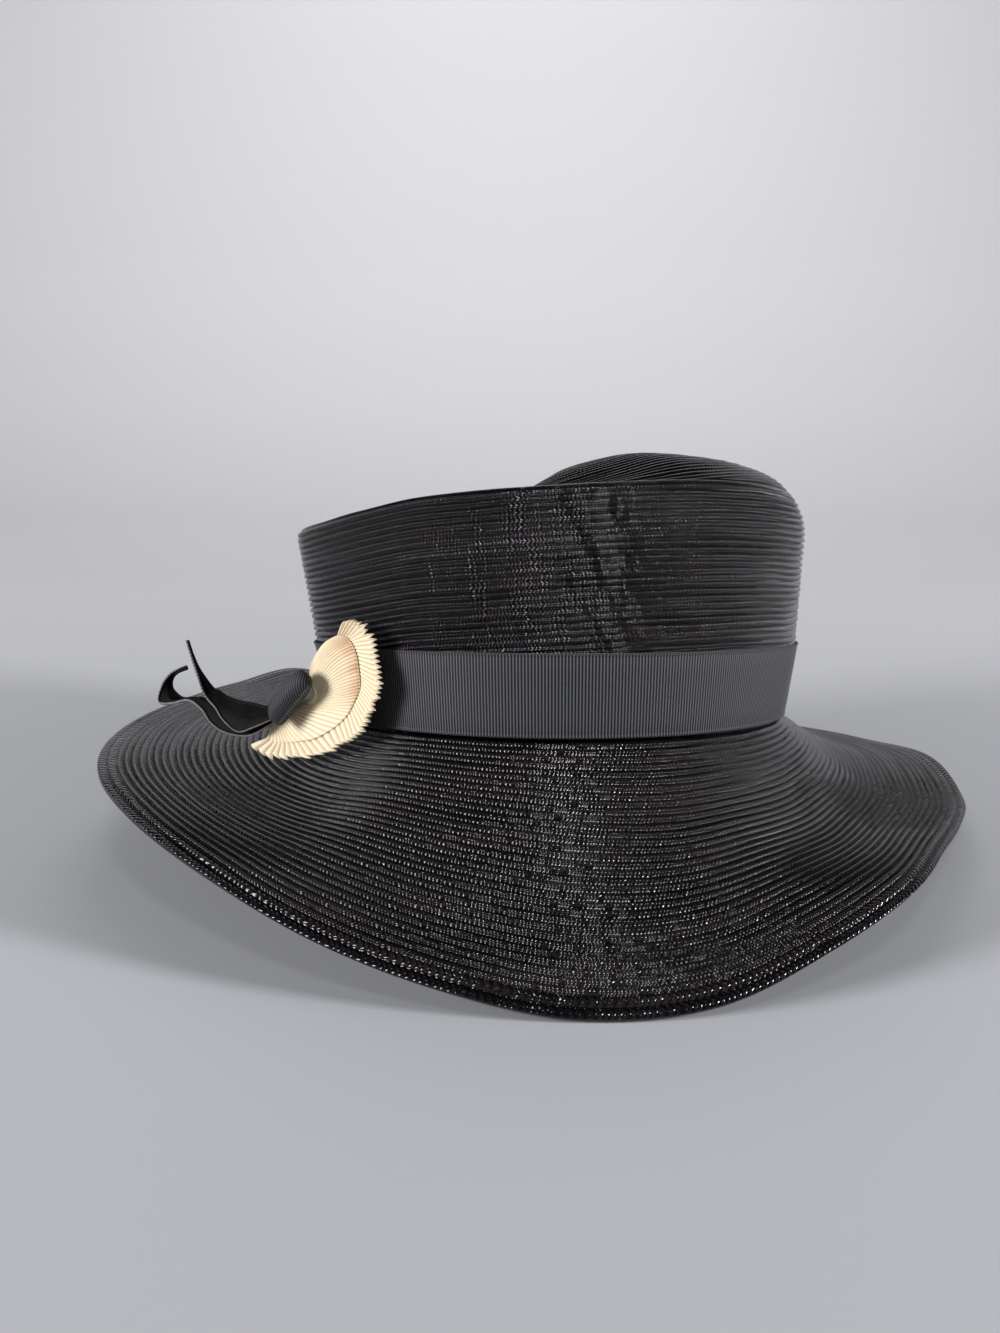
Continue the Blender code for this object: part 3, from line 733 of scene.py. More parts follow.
def thickened(piece, wall):
    """Cloth gets its thickness behind the drawn side."""
    deselect()
    piece.select_set(True)
    bpy.context.view_layer.objects.active = piece
    bpy.ops.object.modifier_add(type="SOLIDIFY")
    piece.modifiers[-1].thickness = wall * MM
    piece.modifiers[-1].offset = -1
    bpy.ops.object.modifier_apply(modifier=piece.modifiers[-1].name)
    return piece


def facing_out(piece, way):
    """Turns a sheet's faces over if they point away from the way given."""
    mesh = piece.data
    towards = sum(face.area * face.normal.dot(way) for face in mesh.polygons)
    if towards < 0:
        mesh.flip_normals()
    return piece


def pleated(name, places, lift, rings):
    """A pleated sheet from places on the fan's plane and their height in front of it."""
    points = plane.at(places[..., 0], places[..., 1], lift)
    along = np.tile(pleat_number, (len(rings), 1))
    out = np.tile(rings, (1, pleat_columns))
    piece = woven_grid(name, points, along, out)
    return thickened(facing_out(piece, REST_TURN @ Vector(plane.towards)), FAN_CLOTH)


# %% Make the inner pleats
UNDER_KNOT = -0.14
INNER_RINGS = 26
INNER_RELIEF_MOST = 0.7
INNER_SINK = 0.4
inner_rings = np.linspace(UNDER_KNOT, 1, INNER_RINGS)[:, None]
ring = inner_rings[:, :, None]
root = pleat_line("root")
fold = pleat_line("crease")
bend = 2 * pleat_line("mid") - (root + fold) / 2
inner_places = (1 - ring) ** 2 * root + 2 * ring * (1 - ring) * bend + ring**2 * fold
inner_relief = relief_of(inner_places, INNER_STEEPNESS, INNER_RELIEF_MOST)
lift = lift_of(inner_places) + inner_relief - INNER_SINK
fan_inner = pleated("pleats_inner", inner_places, lift, inner_rings)
tell(fan_inner)

# %% Make the outer pleats
OUTER_RINGS = 22
OUTER_RELIEF_MOST = 1.3
OUTER_SINK = 0.3
TOOTH = 2.6
UNEVEN_TOOTH = 0.9
TOOTH_RISE = 7
TOOTH_START = 0.857
TOOTH_MIDDLE = 0.6
OUTER_LIFT = ((0, 0.12, 1), (-1.3, -0.6, FAN_RIM_LIFT))
OUTER_STEP_UP = ((0, 0.15, 1), (0.2, 0.7, 1.0))
TOOTH_SEED = 7
outer_rings = np.linspace(0, 1, OUTER_RINGS)[:, None]
ring = outer_rings[:, :, None]
outwards = pleat_line("rim") - fold
outwards /= np.linalg.norm(outwards, axis=1)[:, None]
start = fold - FAN_TUCK / 3 * outwards
outer_places = start + (pleat_line("rim") - start) * ring
outer_relief = relief_of(outer_places, OUTER_STEEPNESS, OUTER_RELIEF_MOST)
tooth_share = (pleat_number % 1)[None, :]
chance = np.random.default_rng(TOOTH_SEED)
uneven = chance.uniform(-UNEVEN_TOOTH, UNEVEN_TOOTH, FAN_PLEATS + 1)[pleat_number.astype(int)]
at_rim = np.clip(TOOTH_RISE * (outer_rings - TOOTH_START), 0, 1)
tooth = (TOOTH * (TOOTH_MIDDLE - tooth_share) + uneven) * at_rim
outer_places = outer_places + tooth[:, :, None] * outwards
outer_lift = np.interp(outer_rings, *OUTER_LIFT)
step_up = np.interp(outer_rings, *OUTER_STEP_UP)
lift = lift_of(fold)[None, :] * (1 - outer_rings) + outer_lift + outer_relief * step_up - OUTER_SINK
fan_outer = pleated("pleats_outer", outer_places, lift, 1 + outer_rings)
tell(fan_outer)

# %% [markdown]
# ## Bow
# Two ends of the same black grosgrain leave the fan's middle, sag over the brim and curl up, and a short
# loop covers the place where they start. A tail is a ribbon between two edge curves.

# %% The tails' edges
POINTS_PER_ROW = 12


def tail_edges(columns, layer):
    """The low and the high edge of a tail: smooth curves from behind the knot through the table's rows."""
    right = np.array([TAIL_INSET, TAIL_INSET])
    up = np.array([-KNOT_WIDTH / 2, KNOT_WIDTH / 2])
    starts = plane.at(right, up, fan_front(right, up) + layer * RIBBON_LAYER)
    count = len(columns["low_left"]) + 1
    at = np.linspace(0, count - 1, POINTS_PER_ROW * count)
    edges = []
    for side, start in zip(("low", "high"), starts):
        ways = np.stack([-columns[side + "_left"], columns[side + "_back"], columns[side + "_up"]], axis=1)
        points = np.concatenate([[start], plane.middle + ways * TAIL_LENGTH])
        edges.append(np.stack([curve(np.arange(count), line, at) for line in points.T], axis=1))
    return edges


def even(path, count):
    """The same path with a number of points at even steps."""
    walked = walked_along(path)
    at = np.linspace(0, walked[-1], count)
    return np.stack([np.interp(at, walked, column) for column in path.T], axis=1)


# %% Make the tails
DRAWN_WIDTH = 8.0
SELVEDGE_REACH = 1.6
MOST_SELVEDGE = 0.45


def ribbon_tail(name, columns, layer):
    """A ribbon between its two edges: the selvedges keep their width and the middle takes what is left.

    The place between the near selvedge and the middle is drawn on the far edge, so the front lies double.
    """
    low, high = tail_edges(columns, layer)
    length = 0.5 * (walked_along(low)[-1] + walked_along(high)[-1])
    count = POINTS_PER_RIB * int(round(length / RIB_PITCH)) + 1
    low = even(low, count)
    high = even(high, count)
    way = np.gradient(0.5 * (low + high), axis=0)
    front = np.cross(high - low, way)
    front /= np.linalg.norm(front, axis=1)[:, None]
    if (front @ plane.towards).sum() < 0:
        front = -front
    width = np.linalg.norm(high - low, axis=1)
    section = ribbon_section(DRAWN_WIDTH, 4)
    points = []
    edge_distance = []
    for place, wall in section:
        from_far = DRAWN_WIDTH - place
        if place <= SELVEDGE_REACH:
            across = np.minimum(place / width, MOST_SELVEDGE)
        elif place < DRAWN_WIDTH / 2:
            across = np.ones(count)
        elif from_far <= SELVEDGE_REACH:
            across = 1 - np.minimum(from_far / width, MOST_SELVEDGE)
        else:
            across = np.full(count, place / DRAWN_WIDTH)
        rib = np.resize(RIB_RELIEF, count) - RIB_RELIEF.max() if wall > 0.5 else np.zeros(count)
        base = low + (high - low) * across[:, None]
        points.append(base + front * ((wall - 1) * RIBBON_WALL + rib)[:, None])
        edge_distance.append(across * width)
    along = np.tile(np.linspace(0, length, count), (len(section), 1))
    return closed_up(woven_grid(name, np.stack(points), along, np.stack(edge_distance)))


tail_outer = ribbon_tail("bow_tail_outer_ribbon", OUTER_TAIL, 1)
tail_inner = ribbon_tail("bow_tail_inner_ribbon", INNER_TAIL, 2)
tell(tail_outer)
tell(tail_inner)

# %% [markdown]
# ### Knot
# The knot is a short, full loop of the ribbon, shaped like a small pillow that thins towards its sides. Its
# ribs run upright although the loop itself slants, so they are raised along a slanting direction of its
# surface. It is an open tube until the cloth gets its thickness.

# %% Make the knot
KNOT_ROUND = 300
KNOT_ACROSS = 20
KNOT_RIB = 1.18
RIB_SHEAR = 0.84
KNOT_FULLNESS = 4.1
KNOT_TAPER = 0.22
KNOT_REACH = 12.0
KNOT_CLOSER = 3.0
KNOT_ASIDE = 3.0
KNOT_THINNER = (0.92, 0.55)
KNOT_END_SQUARE = 0.75
KNOT_TOP_SQUARE = 0.85
KNOT_END_ROUNDING = 0.10
KNOT_TAPER_POWER = 5
KNOT_BREADTH = 1.2
KNOT_RIB_RELIEF = 0.10
KNOT_CLOTH = 0.8


def squared(way, power):
    """A circle's sine or cosine, made squarer by a power below one."""
    return np.sign(way) * np.abs(way) ** power


under_knot = fan_front(TAIL_INSET, KNOT_WIDTH / 2) + 2 * RIBBON_LAYER + GAP
knot_height = under_knot + KNOT_DEPTH / 2 + KNOT_CROWN
knot_middle = plane.at(KNOT_SHIFT - KNOT_ASIDE, 0.0, knot_height - KNOT_CLOSER)
knot_plane = Plane(knot_middle, FAN_FACING, KNOT_TURN)
loop = np.linspace(0, 2 * np.pi, KNOT_ROUND + 1)
share = np.linspace(-0.5, 0.5, KNOT_ACROSS + 1)[:, None]
to_side = (2 * share) ** 2
bulge = 1 - np.where(share < 0, *KNOT_THINNER) * to_side
rounding = 1 - KNOT_END_ROUNDING * to_side
along_loop = KNOT_REACH * squared(np.cos(loop), KNOT_END_SQUARE) * rounding
over_loop = KNOT_FULLNESS * squared(np.sin(loop), KNOT_TOP_SQUARE) * bulge
taper = 1 - KNOT_TAPER * np.abs(np.cos(loop)) ** KNOT_TAPER_POWER
across_loop = share * KNOT_WIDTH * KNOT_BREADTH * taper
middle = KNOT_ACROSS // 2
loop_length = walked_along(np.stack([along_loop[middle], over_loop[middle]], axis=1))
rib_place = -loop_length - RIB_SHEAR * across_loop
rib_height = KNOT_RIB_RELIEF * np.cos(2 * np.pi * rib_place / KNOT_RIB)
outward = np.stack([KNOT_FULLNESS * np.cos(loop), KNOT_REACH * np.sin(loop)])
outward /= np.linalg.norm(outward, axis=0)
right = along_loop + rib_height * outward[0]
towards = over_loop + rib_height * outward[1]
knot_points = knot_plane.at(right, across_loop, towards)
knot_along = rib_place * RIB_PITCH / KNOT_RIB
knot_across = (share + 0.5) * KNOT_WIDTH + 0 * loop
bow_knot = closed_up(woven_grid("bow_knot_ribbon", knot_points, knot_along, knot_across), filled=False)
thickened(bow_knot, KNOT_CLOTH)
tell(bow_knot)

# %% [markdown]
# ## Materials
# One function turns an sRGB hex colour into the linear values that Blender works with, one sets or links a
# socket, and one adds a node with its settings and links. A node that isn't told which output to pass on
# gives its first. Every pattern reads the UV map "weave", which holds millimetres and rows, so that it
# keeps its real size and follows the surface.

# %% Material helpers
def linear(hex_colour):
    """Linear red, green, blue and alpha from an sRGB hex value."""
    parts = [int(hex_colour[place : place + 2], 16) / 255 for place in (1, 3, 5)]
    curved = [part / 12.92 if part <= 0.04045 else ((part + 0.055) / 1.055) ** 2.4 for part in parts]
    return (*curved, 1.0)


def feed(tree, socket, source):
    """Sets a socket to a number or colour, or links it to an output or to a node's first output in use."""
    if isinstance(source, bpy.types.Node):
        source = next(output for output in source.outputs if output.enabled)
    if isinstance(source, bpy.types.NodeSocket):
        tree.links.new(source, socket)
    else:
        socket.default_value = source


def add(tree, kind, *inputs, stops=(), **settings):
    """Adds a node: settings are its properties and named inputs, and the inputs feed its sockets in order.

    The stops of a colour ramp are pairs of a place and a hex colour.
    """
    node = tree.nodes.new("ShaderNode" + kind)
    for name, value in settings.items():
        if name in node.inputs:
            feed(tree, node.inputs[name], value)
        else:
            setattr(node, name, value)
    for spare in stops[2:]:
        node.color_ramp.elements.new(0.5)
    for place, (position, colour) in enumerate(stops):
        node.color_ramp.elements[place].position = position
        node.color_ramp.elements[place].color = linear(colour)
    sockets = [socket for socket in node.inputs if socket.enabled]
    for socket, source in zip(sockets, inputs):
        feed(tree, socket, source)
    return node


def new_material(name, **settings):
    """A material with one shader, whose even values are set on the shader itself."""
    made = bpy.data.materials.new(name)
    made.use_nodes = True
    shader = made.node_tree.nodes["Principled BSDF"]
    for key, value in settings.items():
        shader.inputs[key.replace("_", " ")].default_value = value
    return made, made.node_tree, shader


# %% [markdown]
# ### Lacquered straw braid
# The plait is dyed black and lacquered: a dark, slightly glassy surface that is nearly black face on and
# throws many small hard glints. Its crossing strands make beads about one millimetre long that lean one way
# above the middle of each row and the other way below it. Every bead is a little different in height, so
# not all of them catch the light. The grooves between the beads are less polished than their crests and get
# a painted shade, and the crests a painted highlight.

# %% Sizes of the straw's finish
BEAD_PITCH = 1.15
BEAD_HEIGHT = 0.00034
BEAD_DRIFT = 3.0
STRAND_LEAN = 1.0
LOWEST_BEAD = 0.65
BEAD_SPREAD = 0.5
FIBRE_RELIEF = 0.09
GROOVE_ROUGHNESS = 0.17
CREST_POLISH = 0.11
LACQUER_IOR = 1.4
# The grooves' black is painted shade, and the crests' tones are a painted highlight that varies with the
# straw's age.
GROOVE_PAINTED_SHADE = "#010101"
AGED_CREST_HIGHLIGHTS = ((0.35, "#0b0a0c"), (0.75, "#281f23"))


# %% Make the straw material
def straw_material():
    made, tree, shader = new_material("lacquered_straw_braid", IOR=LACQUER_IOR)
    weave = add(tree, "UVMap", uv_map="weave")
    split = add(tree, "SeparateXYZ", weave)
    along, rows = split.outputs["X"], split.outputs["Y"]

    # Each bead's place along its row: rows start by chance, drift a little and lean out from their middle.
    row = add(tree, "Math", rows, operation="FLOOR")
    place = add(tree, "Math", rows, operation="FRACT")
    chance = add(tree, "TexWhiteNoise", row, noise_dimensions="1D")
    off_middle = add(tree, "Math", place, 0.5, operation="SUBTRACT")
    from_middle = add(tree, "Math", off_middle, operation="ABSOLUTE")
    lean = add(tree, "Math", from_middle, STRAND_LEAN, operation="MULTIPLY")
    wave = add(tree, "TexNoise", weave, noise_dimensions="2D", Scale=0.12, Detail=2.0)
    drift = add(tree, "Math", wave, BEAD_DRIFT, operation="MULTIPLY")
    start = add(tree, "Math", chance, drift, operation="ADD")
    pitches = add(tree, "Math", along, BEAD_PITCH, operation="DIVIDE")
    leaning = add(tree, "Math", pitches, lean, operation="ADD")
    beads = add(tree, "Math", leaning, start, operation="ADD")

    # A bead's round top, lower towards the sides of its row, and its own size by chance.
    across = add(tree, "Math", beads, operation="FRACT")
    beyond = add(tree, "Math", 1.0, across, operation="SUBTRACT")
    dome = add(tree, "Math", across, beyond, operation="MULTIPLY")
    strand = add(tree, "Math", dome, 4.0, operation="MULTIPLY")
    half_turn = add(tree, "Math", place, np.pi, operation="MULTIPLY")
    ridge = add(tree, "Math", half_turn, operation="SINE")
    number = add(tree, "Math", beads, operation="FLOOR")
    bead = add(tree, "CombineXYZ", number, row)
    luck = add(tree, "TexWhiteNoise", bead, noise_dimensions="2D")
    spread = add(tree, "Math", luck, BEAD_SPREAD, operation="MULTIPLY")
    size = add(tree, "Math", LOWEST_BEAD, spread, operation="ADD")
    swell = add(tree, "Math", ridge, 0.3, operation="MULTIPLY")
    fullness = add(tree, "Math", 0.7, swell, operation="ADD")
    full = add(tree, "Math", strand, fullness, operation="MULTIPLY")
    sized = add(tree, "Math", full, size, operation="MULTIPLY")
    fibre = add(tree, "TexNoise", weave, noise_dimensions="2D", Scale=2.6, Detail=3.0)
    fine = add(tree, "Math", fibre, FIBRE_RELIEF, operation="MULTIPLY")
    height = add(tree, "Math", sized, fine, operation="ADD")

    # The crests are the polished part of each bead, and their colour is a painted highlight.
    nearness = add(tree, "Math", 0.3, ridge, operation="ADD")
    raised = add(tree, "Math", strand, nearness, operation="MULTIPLY")
    stretched = add(tree, "Math", raised, 1.2, operation="MULTIPLY")
    crest = add(tree, "Math", stretched, 1.0, operation="MINIMUM")
    polish = add(tree, "Math", crest, CREST_POLISH, operation="MULTIPLY")
    rough = add(tree, "Math", GROOVE_ROUGHNESS, polish, operation="SUBTRACT")
    feed(tree, shader.inputs["Roughness"], rough)
    cloud = add(tree, "TexNoise", weave, noise_dimensions="2D", Scale=0.05, Detail=3.0)
    clouded = add(tree, "Math", cloud, 0.7, operation="MULTIPLY")
    by_row = add(tree, "Math", chance, 0.3, operation="MULTIPLY")
    age = add(tree, "Math", clouded, by_row, operation="ADD")
    aged_crest_highlight = add(tree, "ValToRGB", age, stops=AGED_CREST_HIGHLIGHTS)
    # Painted highlight on the crests over painted shade in the grooves.
    sharp = add(tree, "Math", crest, 2.0, operation="POWER")
    colour = add(tree, "Mix", sharp, linear(GROOVE_PAINTED_SHADE), aged_crest_highlight, data_type="RGBA")
    bump = add(tree, "Bump", Strength=1.0, Distance=BEAD_HEIGHT, Height=height)
    feed(tree, shader.inputs["Normal"], bump)
    feed(tree, shader.inputs["Base Color"], colour)
    return made


straw = straw_material()
print(straw.name, len(straw.node_tree.nodes), "nodes")

# %% [markdown]
# ### Black grosgrain
# Dyed rayon grosgrain has a soft, silky sheen; its rib tops are painted light as a highlight and its furrows
# painted dark as shade, and its selvedge threads are a little lighter. Three mixes share one function: the
# band as worn, the knot, whose selvedge shows light stitches, and the tails, painted darker as shade with a
# pale lower selvedge painted as a highlight. The threads between the ribs are only hinted at.

# %% Sizes of the ribbon's finish
THREAD_PITCH = 0.35
SELVEDGE_TWIST = 1.2
RIB_SHARPNESS = 5.0
RIBBON_BUMP = 0.00012


# %% Make the ribbon material
def ribbon_material(name, furrow_shade_and_rib_highlight, selvedge_width, selvedge_colours, sheen, index):
    """Grosgrain from its furrow colour, a painted shade, and its crest colour, a painted highlight, and its
    selvedge's dark and light ones.
    """
    made, tree, shader = new_material(name, Roughness=0.7, IOR=index, Sheen_Weight=sheen, Sheen_Roughness=0.4)
    shader.inputs["Sheen Tint"].default_value = linear("#b0b1b4")
    weave = add(tree, "UVMap", uv_map="weave")
    split = add(tree, "SeparateXYZ", weave)
    along, edge = split.outputs["X"], split.outputs["Y"]

    # Ribs across the ribbon, narrow; their tops are painted light as a highlight and their furrows dark as
    # shade.
    rib_turn = add(tree, "Math", along, np.pi / RIB_PITCH, operation="MULTIPLY")
    rib_wave = add(tree, "Math", rib_turn, operation="SINE")
    rib = add(tree, "Math", rib_wave, operation="ABSOLUTE")
    narrow = add(tree, "Math", rib, RIB_SHARPNESS, operation="POWER")
    ribs = add(tree, "Mix", narrow, *(linear(tone) for tone in furrow_shade_and_rib_highlight), data_type="RGBA")

    # The selvedge's twisted threads.
    at_edge = add(tree, "Math", edge, selvedge_width, operation="LESS_THAN")
    twist_turn = add(tree, "Math", along, np.pi / SELVEDGE_TWIST, operation="MULTIPLY")
    twist_wave = add(tree, "Math", twist_turn, operation="SINE")
    twist = add(tree, "Math", twist_wave, operation="ABSOLUTE")
    selvedge = add(tree, "Mix", twist, *(linear(tone) for tone in selvedge_colours), data_type="RGBA")
    colour = add(tree, "Mix", at_edge, ribs, selvedge, data_type="RGBA")

    # Fine threads and loose fibres as a low bump.
    thread_turn = add(tree, "Math", edge, 2 * np.pi / THREAD_PITCH, operation="MULTIPLY")
    threads = add(tree, "Math", thread_turn, operation="SINE")
    low_threads = add(tree, "Math", threads, 0.12, operation="MULTIPLY")
    fibre = add(tree, "TexNoise", weave, noise_dimensions="2D", Scale=1.6, Detail=4.0)
    low_fibre = add(tree, "Math", fibre, 0.5, operation="MULTIPLY")
    height = add(tree, "Math", low_threads, low_fibre, operation="ADD")
    bump = add(tree, "Bump", Strength=0.8, Distance=RIBBON_BUMP, Height=height)
    feed(tree, shader.inputs["Normal"], bump)
    feed(tree, shader.inputs["Base Color"], colour)
    return made


grosgrain = ribbon_material(
    "ribbed_black_grosgrain", ("#020203", "#606165"), 0.5, ("#0a0a0b", "#3c3d40"), 0.2, 1.4
)
grosgrain_knot = ribbon_material(
    "knotted_black_grosgrain", ("#030304", "#505155"), 0.7, ("#040404", "#6a6866"), 0.25, 1.4
)
# The tails' mix is darkened as painted shade, and its pale lower selvedge is a painted highlight.
shaded_grosgrain_tail = ribbon_material(
    "shaded_black_grosgrain_with_painted_lit_selvedge", ("#040304", "#0d0b0d"), 0.45, ("#2a2a2c", "#8a8886"), 0.0, 1.25
)
print("grosgrain", len(grosgrain.node_tree.nodes), "nodes in each of its three mixes")

# %% [markdown]
# ### Cream pleats
# The pleats are a matt cream ribbon. A tan painted shade lies in the folds, most near the crease, and the
# ribbon's fine ribs show as faint lines across each pleat. A thin brown line of painted shade lies along each
# pleat's fall, and dots mark the picot.

# %% Sizes and colours of the pleats' finish
PLEAT_CREAM = "#fdecc8"
# The tan and the brown are painted shade in the folds and near the crease; the brown also marks the picot.
PLEAT_SHADE_TAN = "#c4905c"
PLEAT_BROWN = "#7c5733"
PICOT_LOOPS = 17
CLOTH_LINES = 40
PLEAT_BUMP = 0.00015
PLEAT_LINE = ((0.0, "#ffffff"), (0.10, "#c0c0c0"), (0.34, "#000000"), (0.90, "#000000"), (1.0, "#ffffff"))
NEAR_LINE = ((0.0, "#ffffff"), (0.45, "#404040"), (0.6, "#000000"))
NEAR_CREASE = ((0.35, "#000000"), (0.75, "#a0a0a0"), (0.985, "#ffffff"), (1.0, "#000000"))
SHADED_PLEATS = ((0.0, "#606060"), (0.12, "#ffffff"), (0.45, "#ffffff"), (0.62, "#404040"), (1.0, "#101010"))


# %% Make the pleat material
def pleat_material():
    made, tree, shader = new_material(
        "cream_pleated_ribbon", Roughness=0.6, IOR=1.5, Sheen_Weight=0.4, Sheen_Roughness=0.5
    )
    weave = add(tree, "UVMap", uv_map="weave")
    split = add(tree, "SeparateXYZ", weave)
    pleat, out = split.outputs["X"], split.outputs["Y"]

    # Tan painted shade on the cloth, most near the crease and in the upper pleats.
    near_crease = add(tree, "ValToRGB", out, stops=NEAR_CREASE)
    along_fan = add(tree, "Math", pleat, FAN_PLEATS, operation="DIVIDE")
    pleat_shade = add(tree, "ValToRGB", along_fan, stops=SHADED_PLEATS)
    both = add(tree, "Math", near_crease, pleat_shade, operation="MULTIPLY")
    cloud = add(tree, "TexNoise", weave, noise_dimensions="2D", Scale=0.35, Detail=3.0)
    uneven_shade = add(tree, "Math", 0.25, cloud, operation="ADD")
    painted_fold_shade = add(tree, "Math", both, uneven_shade, operation="MULTIPLY")
    cloth = add(tree, "Mix", painted_fold_shade, linear(PLEAT_CREAM), linear(PLEAT_SHADE_TAN), data_type="RGBA")

    # The line along each pleat's fall: painted shade in the fold, darker where the tan painted shade lies.
    share = add(tree, "Math", pleat, operation="FRACT")
    line = add(tree, "ValToRGB", share, stops=PLEAT_LINE)
    deeper = add(tree, "Math", painted_fold_shade, 0.4, operation="MULTIPLY")
    depth = add(tree, "Math", 0.6, deeper, operation="ADD")
    lines = add(tree, "Math", line, depth, operation="MULTIPLY")

    # The picot's dots, beyond the crease only.
    picot_turn = add(tree, "Math", out, np.pi * PICOT_LOOPS, operation="MULTIPLY")
    picot_wave = add(tree, "Math", picot_turn, operation="SINE")
    picot_loops = add(tree, "Math", picot_wave, operation="ABSOLUTE")
    picot = add(tree, "Math", picot_loops, 3.0, operation="POWER")
    near_line = add(tree, "ValToRGB", share, stops=NEAR_LINE)
    beyond = add(tree, "Math", out, 1.0, operation="GREATER_THAN")
    side_dots = add(tree, "Math", picot, near_line, operation="MULTIPLY")
    dots = add(tree, "Math", side_dots, beyond, operation="MULTIPLY")
    faint_dots = add(tree, "Math", dots, 0.55, operation="MULTIPLY")
    marks = add(tree, "Math", lines, faint_dots, operation="ADD")
    drawn = add(tree, "Math", marks, 1.0, operation="MINIMUM")
    colour = add(tree, "Mix", drawn, cloth, linear(PLEAT_BROWN), data_type="RGBA")

    # Fine ribs and fibres, and holes at the picot's dots.
    thread_turn = add(tree, "Math", out, 2 * np.pi * CLOTH_LINES, operation="MULTIPLY")
    threads = add(tree, "Math", thread_turn, operation="SINE")
    low_threads = add(tree, "Math", threads, 0.2, operation="MULTIPLY")
    fibre = add(tree, "TexNoise", weave, noise_dimensions="2D", Scale=6.0, Detail=3.0)
    surface = add(tree, "Math", low_threads, fibre, operation="ADD")
    holes = add(tree, "Math", dots, 2.0, operation="MULTIPLY")
    height = add(tree, "Math", surface, holes, operation="SUBTRACT")
    bump = add(tree, "Bump", Strength=0.5, Distance=PLEAT_BUMP, Height=height)
    feed(tree, shader.inputs["Normal"], bump)
    feed(tree, shader.inputs["Base Color"], colour)
    return made


cream = pleat_material()
print(cream.name, len(cream.node_tree.nodes), "nodes")

# %% [markdown]
# ## Who rides on what
# Each piece rides on the model's one body, stands for its solid, and takes its finish. Ribbons and pleats are
# sheets of cloth, so their flat sizes are stated.

# %% Hand the pieces over
PIECES = (
    (straw_brim, "brim", straw, "black_straw"),
    (straw_crown, "crown", straw, "black_straw"),
    (grosgrain_band, "hat_band", grosgrain, "black_grosgrain"),
    (fan_inner, "fan_inner", cream, "cream_pleats"),
    (fan_outer, "fan_outer", cream, "cream_pleats"),
    (bow_knot, "bow_knot", grosgrain_knot, "black_grosgrain"),
    (tail_outer, "bow_tail_outer", shaded_grosgrain_tail, "black_grosgrain"),
    (tail_inner, "bow_tail_inner", shaded_grosgrain_tail, "black_grosgrain"),
)
for piece, node, finish, slot in PIECES:
    piece.data.materials.clear()
    piece.data.materials.append(finish)
    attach(piece, "root")
    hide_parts(node)
    low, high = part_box(node)
    corners = np.array([corner for corner in piece.bound_box])
    below = (np.array(low) - corners.min(axis=0)) * 1000
    above = (corners.max(axis=0) - np.array(high)) * 1000
    print(piece.name, "past its solid by", below.round(1), above.round(1), "mm")


# %% [markdown]
# ### Flat sizes of the cloth
# The band and the tails are cut from ribbon 26 mm wide, the tails slanting to a point; the knot is a short
# length folded narrow. The pleated pieces are one ribbon before pleating, drawn here without the cloth
# hidden in the folds.

# %% State the sheets
SHEETS = (
    (grosgrain_band, (0.562, 0.026), "stretched", "straw_crown"),
    (fan_inner, (0.065, 0.024), "folded", "pleats_outer"),
    (fan_outer, (0.120, 0.0105), "folded", "grosgrain_band"),
    (bow_knot, (0.050, 0.010), "folded", "bow_tail_inner_ribbon"),
    (tail_outer, (0.092, 0.011), "draped", "straw_brim"),
    (tail_inner, (0.072, 0.0105), "draped", "straw_brim"),
)
for piece, flat, held, rests_on in SHEETS:
    half_area = 0.5 * sum(face.area for face in piece.data.polygons)
    print(piece.name, "has", round(half_area / (flat[0] * flat[1]), 2), "of its flat area")

# %% [markdown]
# ## Camera, light and ground
# The camera stands a little left of the hat's middle and above its brim, and it is laid down with the hat.
# Two low lamps, one on each side, put a dotted glint on every row of the straw, a weak one in front fills
# the folds, and one high at the back lights the paper. The side towards the camera and the air above are
# left dark, because a glossy black surface shows what it faces.

# %% Make the camera
CAMERA_PLACE = np.array([-21.6, -450.0, 47.3])
CAMERA_PITCH = 3.95
CAMERA_LENS = 32.0
camera_data = bpy.data.cameras.new("camera")
camera_data.lens = CAMERA_LENS
camera_data.sensor_width = 36.0
camera = bpy.data.objects.new("camera", camera_data)
bpy.context.scene.collection.objects.link(camera)
level = Matrix.Rotation(np.radians(90 - CAMERA_PITCH), 4, "X")
camera.matrix_world = Matrix.Translation(Vector(laid(CAMERA_PLACE))) @ REST_TURN.to_4x4() @ level
bpy.context.scene.camera = camera
print("camera at", np.array(camera.location).round(3), "m")

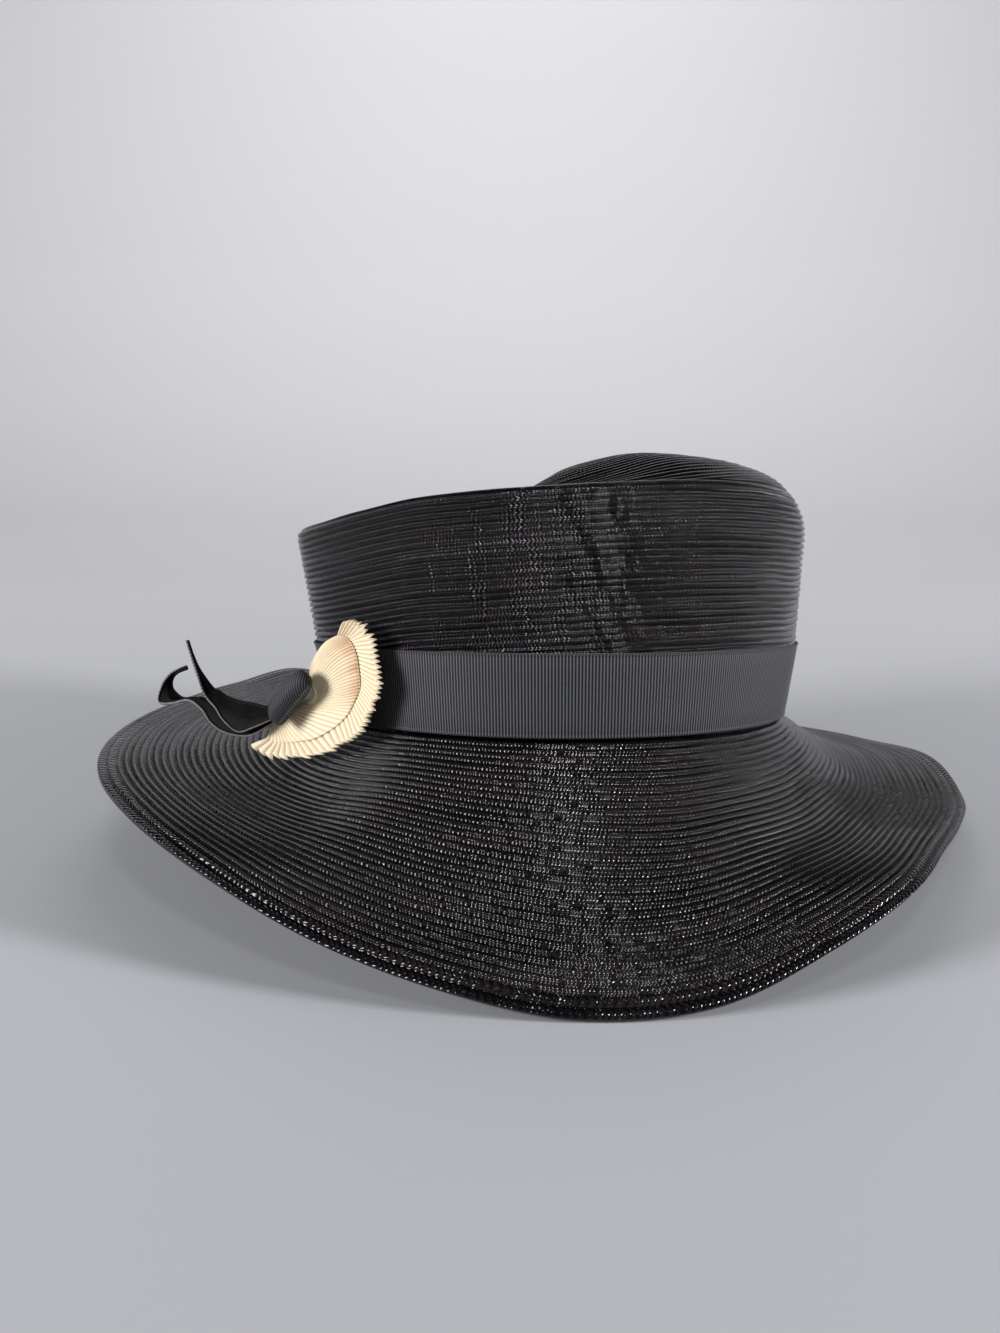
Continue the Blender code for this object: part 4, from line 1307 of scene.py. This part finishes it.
# %% Make the ground and the background
SWEEP = (
    (-1.6, 0.0),
    (-0.8, 0.0),
    (0.0, 0.0),
    (0.6, 0.0),
    (0.9, 0.02),
    (1.1, 0.08),
    (1.25, 0.2),
    (1.34, 0.36),
    (1.38, 0.6),
)
SWEEP_TOP = 1.15
SWEEP_HALF_WIDTH = 2.2
PAPER_CHANGE = (0.1, 0.5)
profile = SWEEP + ((SWEEP[-1][0], SWEEP_TOP),)
deselect()
bpy.ops.mesh.primitive_grid_add(x_subdivisions=1, y_subdivisions=len(profile) - 1, size=2)
ground = bpy.context.object
ground.name = "studio_ground"
for point in ground.data.vertices:
    back, up = profile[round((point.co.y + 1) / 2 * (len(profile) - 1))]
    point.co = (SWEEP_HALF_WIDTH * point.co.x, back, up)
ground.data.shade_smooth()


def ground_material():
    made, tree, shader = new_material("pale_studio_paper", Roughness=0.95)
    where = add(tree, "TexCoord").outputs["Object"]
    split = add(tree, "SeparateXYZ", where)
    away = add(tree, "Math", split.outputs["Y"], split.outputs["Z"], operation="ADD")
    high = add(tree, "MapRange", away, *PAPER_CHANGE)
    # Painted light: the paper is lighter where it rises into the back wall and darker on the floor.
    shade = add(tree, "Mix", high, linear("#b8b9bc"), linear("#c6c6c8"), data_type="RGBA")
    grain = add(tree, "TexNoise", where, Scale=3.0, Detail=2.0)
    faint = add(tree, "Math", grain, 0.2, operation="MULTIPLY")
    paper = add(tree, "Mix", faint, shade, linear("#c6c7c9"), data_type="RGBA")
    feed(tree, shader.inputs["Base Color"], paper)
    return made


ground.data.materials.append(ground_material())
print("ground", len(ground.data.polygons), "faces")

# %% Make the lamps
LAMPS = (
    ("lamp_left", (-1.47, -0.7, 0.5), (0, 0, 0.06), 0.6, 33.0, "#fbfbff"),
    ("lamp_right", (1.45, -0.5, 0.5), (0, 0, 0.06), 0.3, 28.0, "#fbfbff"),
    ("lamp_front", (0.1, -1.0, 1.6), (0, 0, 0.06), 0.3, 2.5, "#ffffff"),
    ("lamp_back", (0.0, 0.75, 1.1), (0, 1.25, 0.1), 0.8, 5.0, "#ffffff"),
)
AIR_STRENGTH = 0.08
for name, place, aim, size, power, colour in LAMPS:
    deselect()
    bpy.ops.object.light_add(type="AREA", location=place)
    lamp = bpy.context.object
    lamp.name = name
    lamp.data.size = size
    lamp.data.energy = power
    lamp.data.color = linear(colour)[:3]
    lamp.rotation_euler = (Vector(aim) - Vector(place)).to_track_quat("-Z", "Y").to_euler()
world = bpy.data.worlds.new("studio_air")
world.use_nodes = True
air = world.node_tree.nodes["Background"]
air.inputs["Color"].default_value = linear("#eeeff2")
air.inputs["Strength"].default_value = AIR_STRENGTH
bpy.context.scene.world = world
bpy.context.scene.view_settings.view_transform = "Standard"
print("lamps", [name for name, *rest in LAMPS])
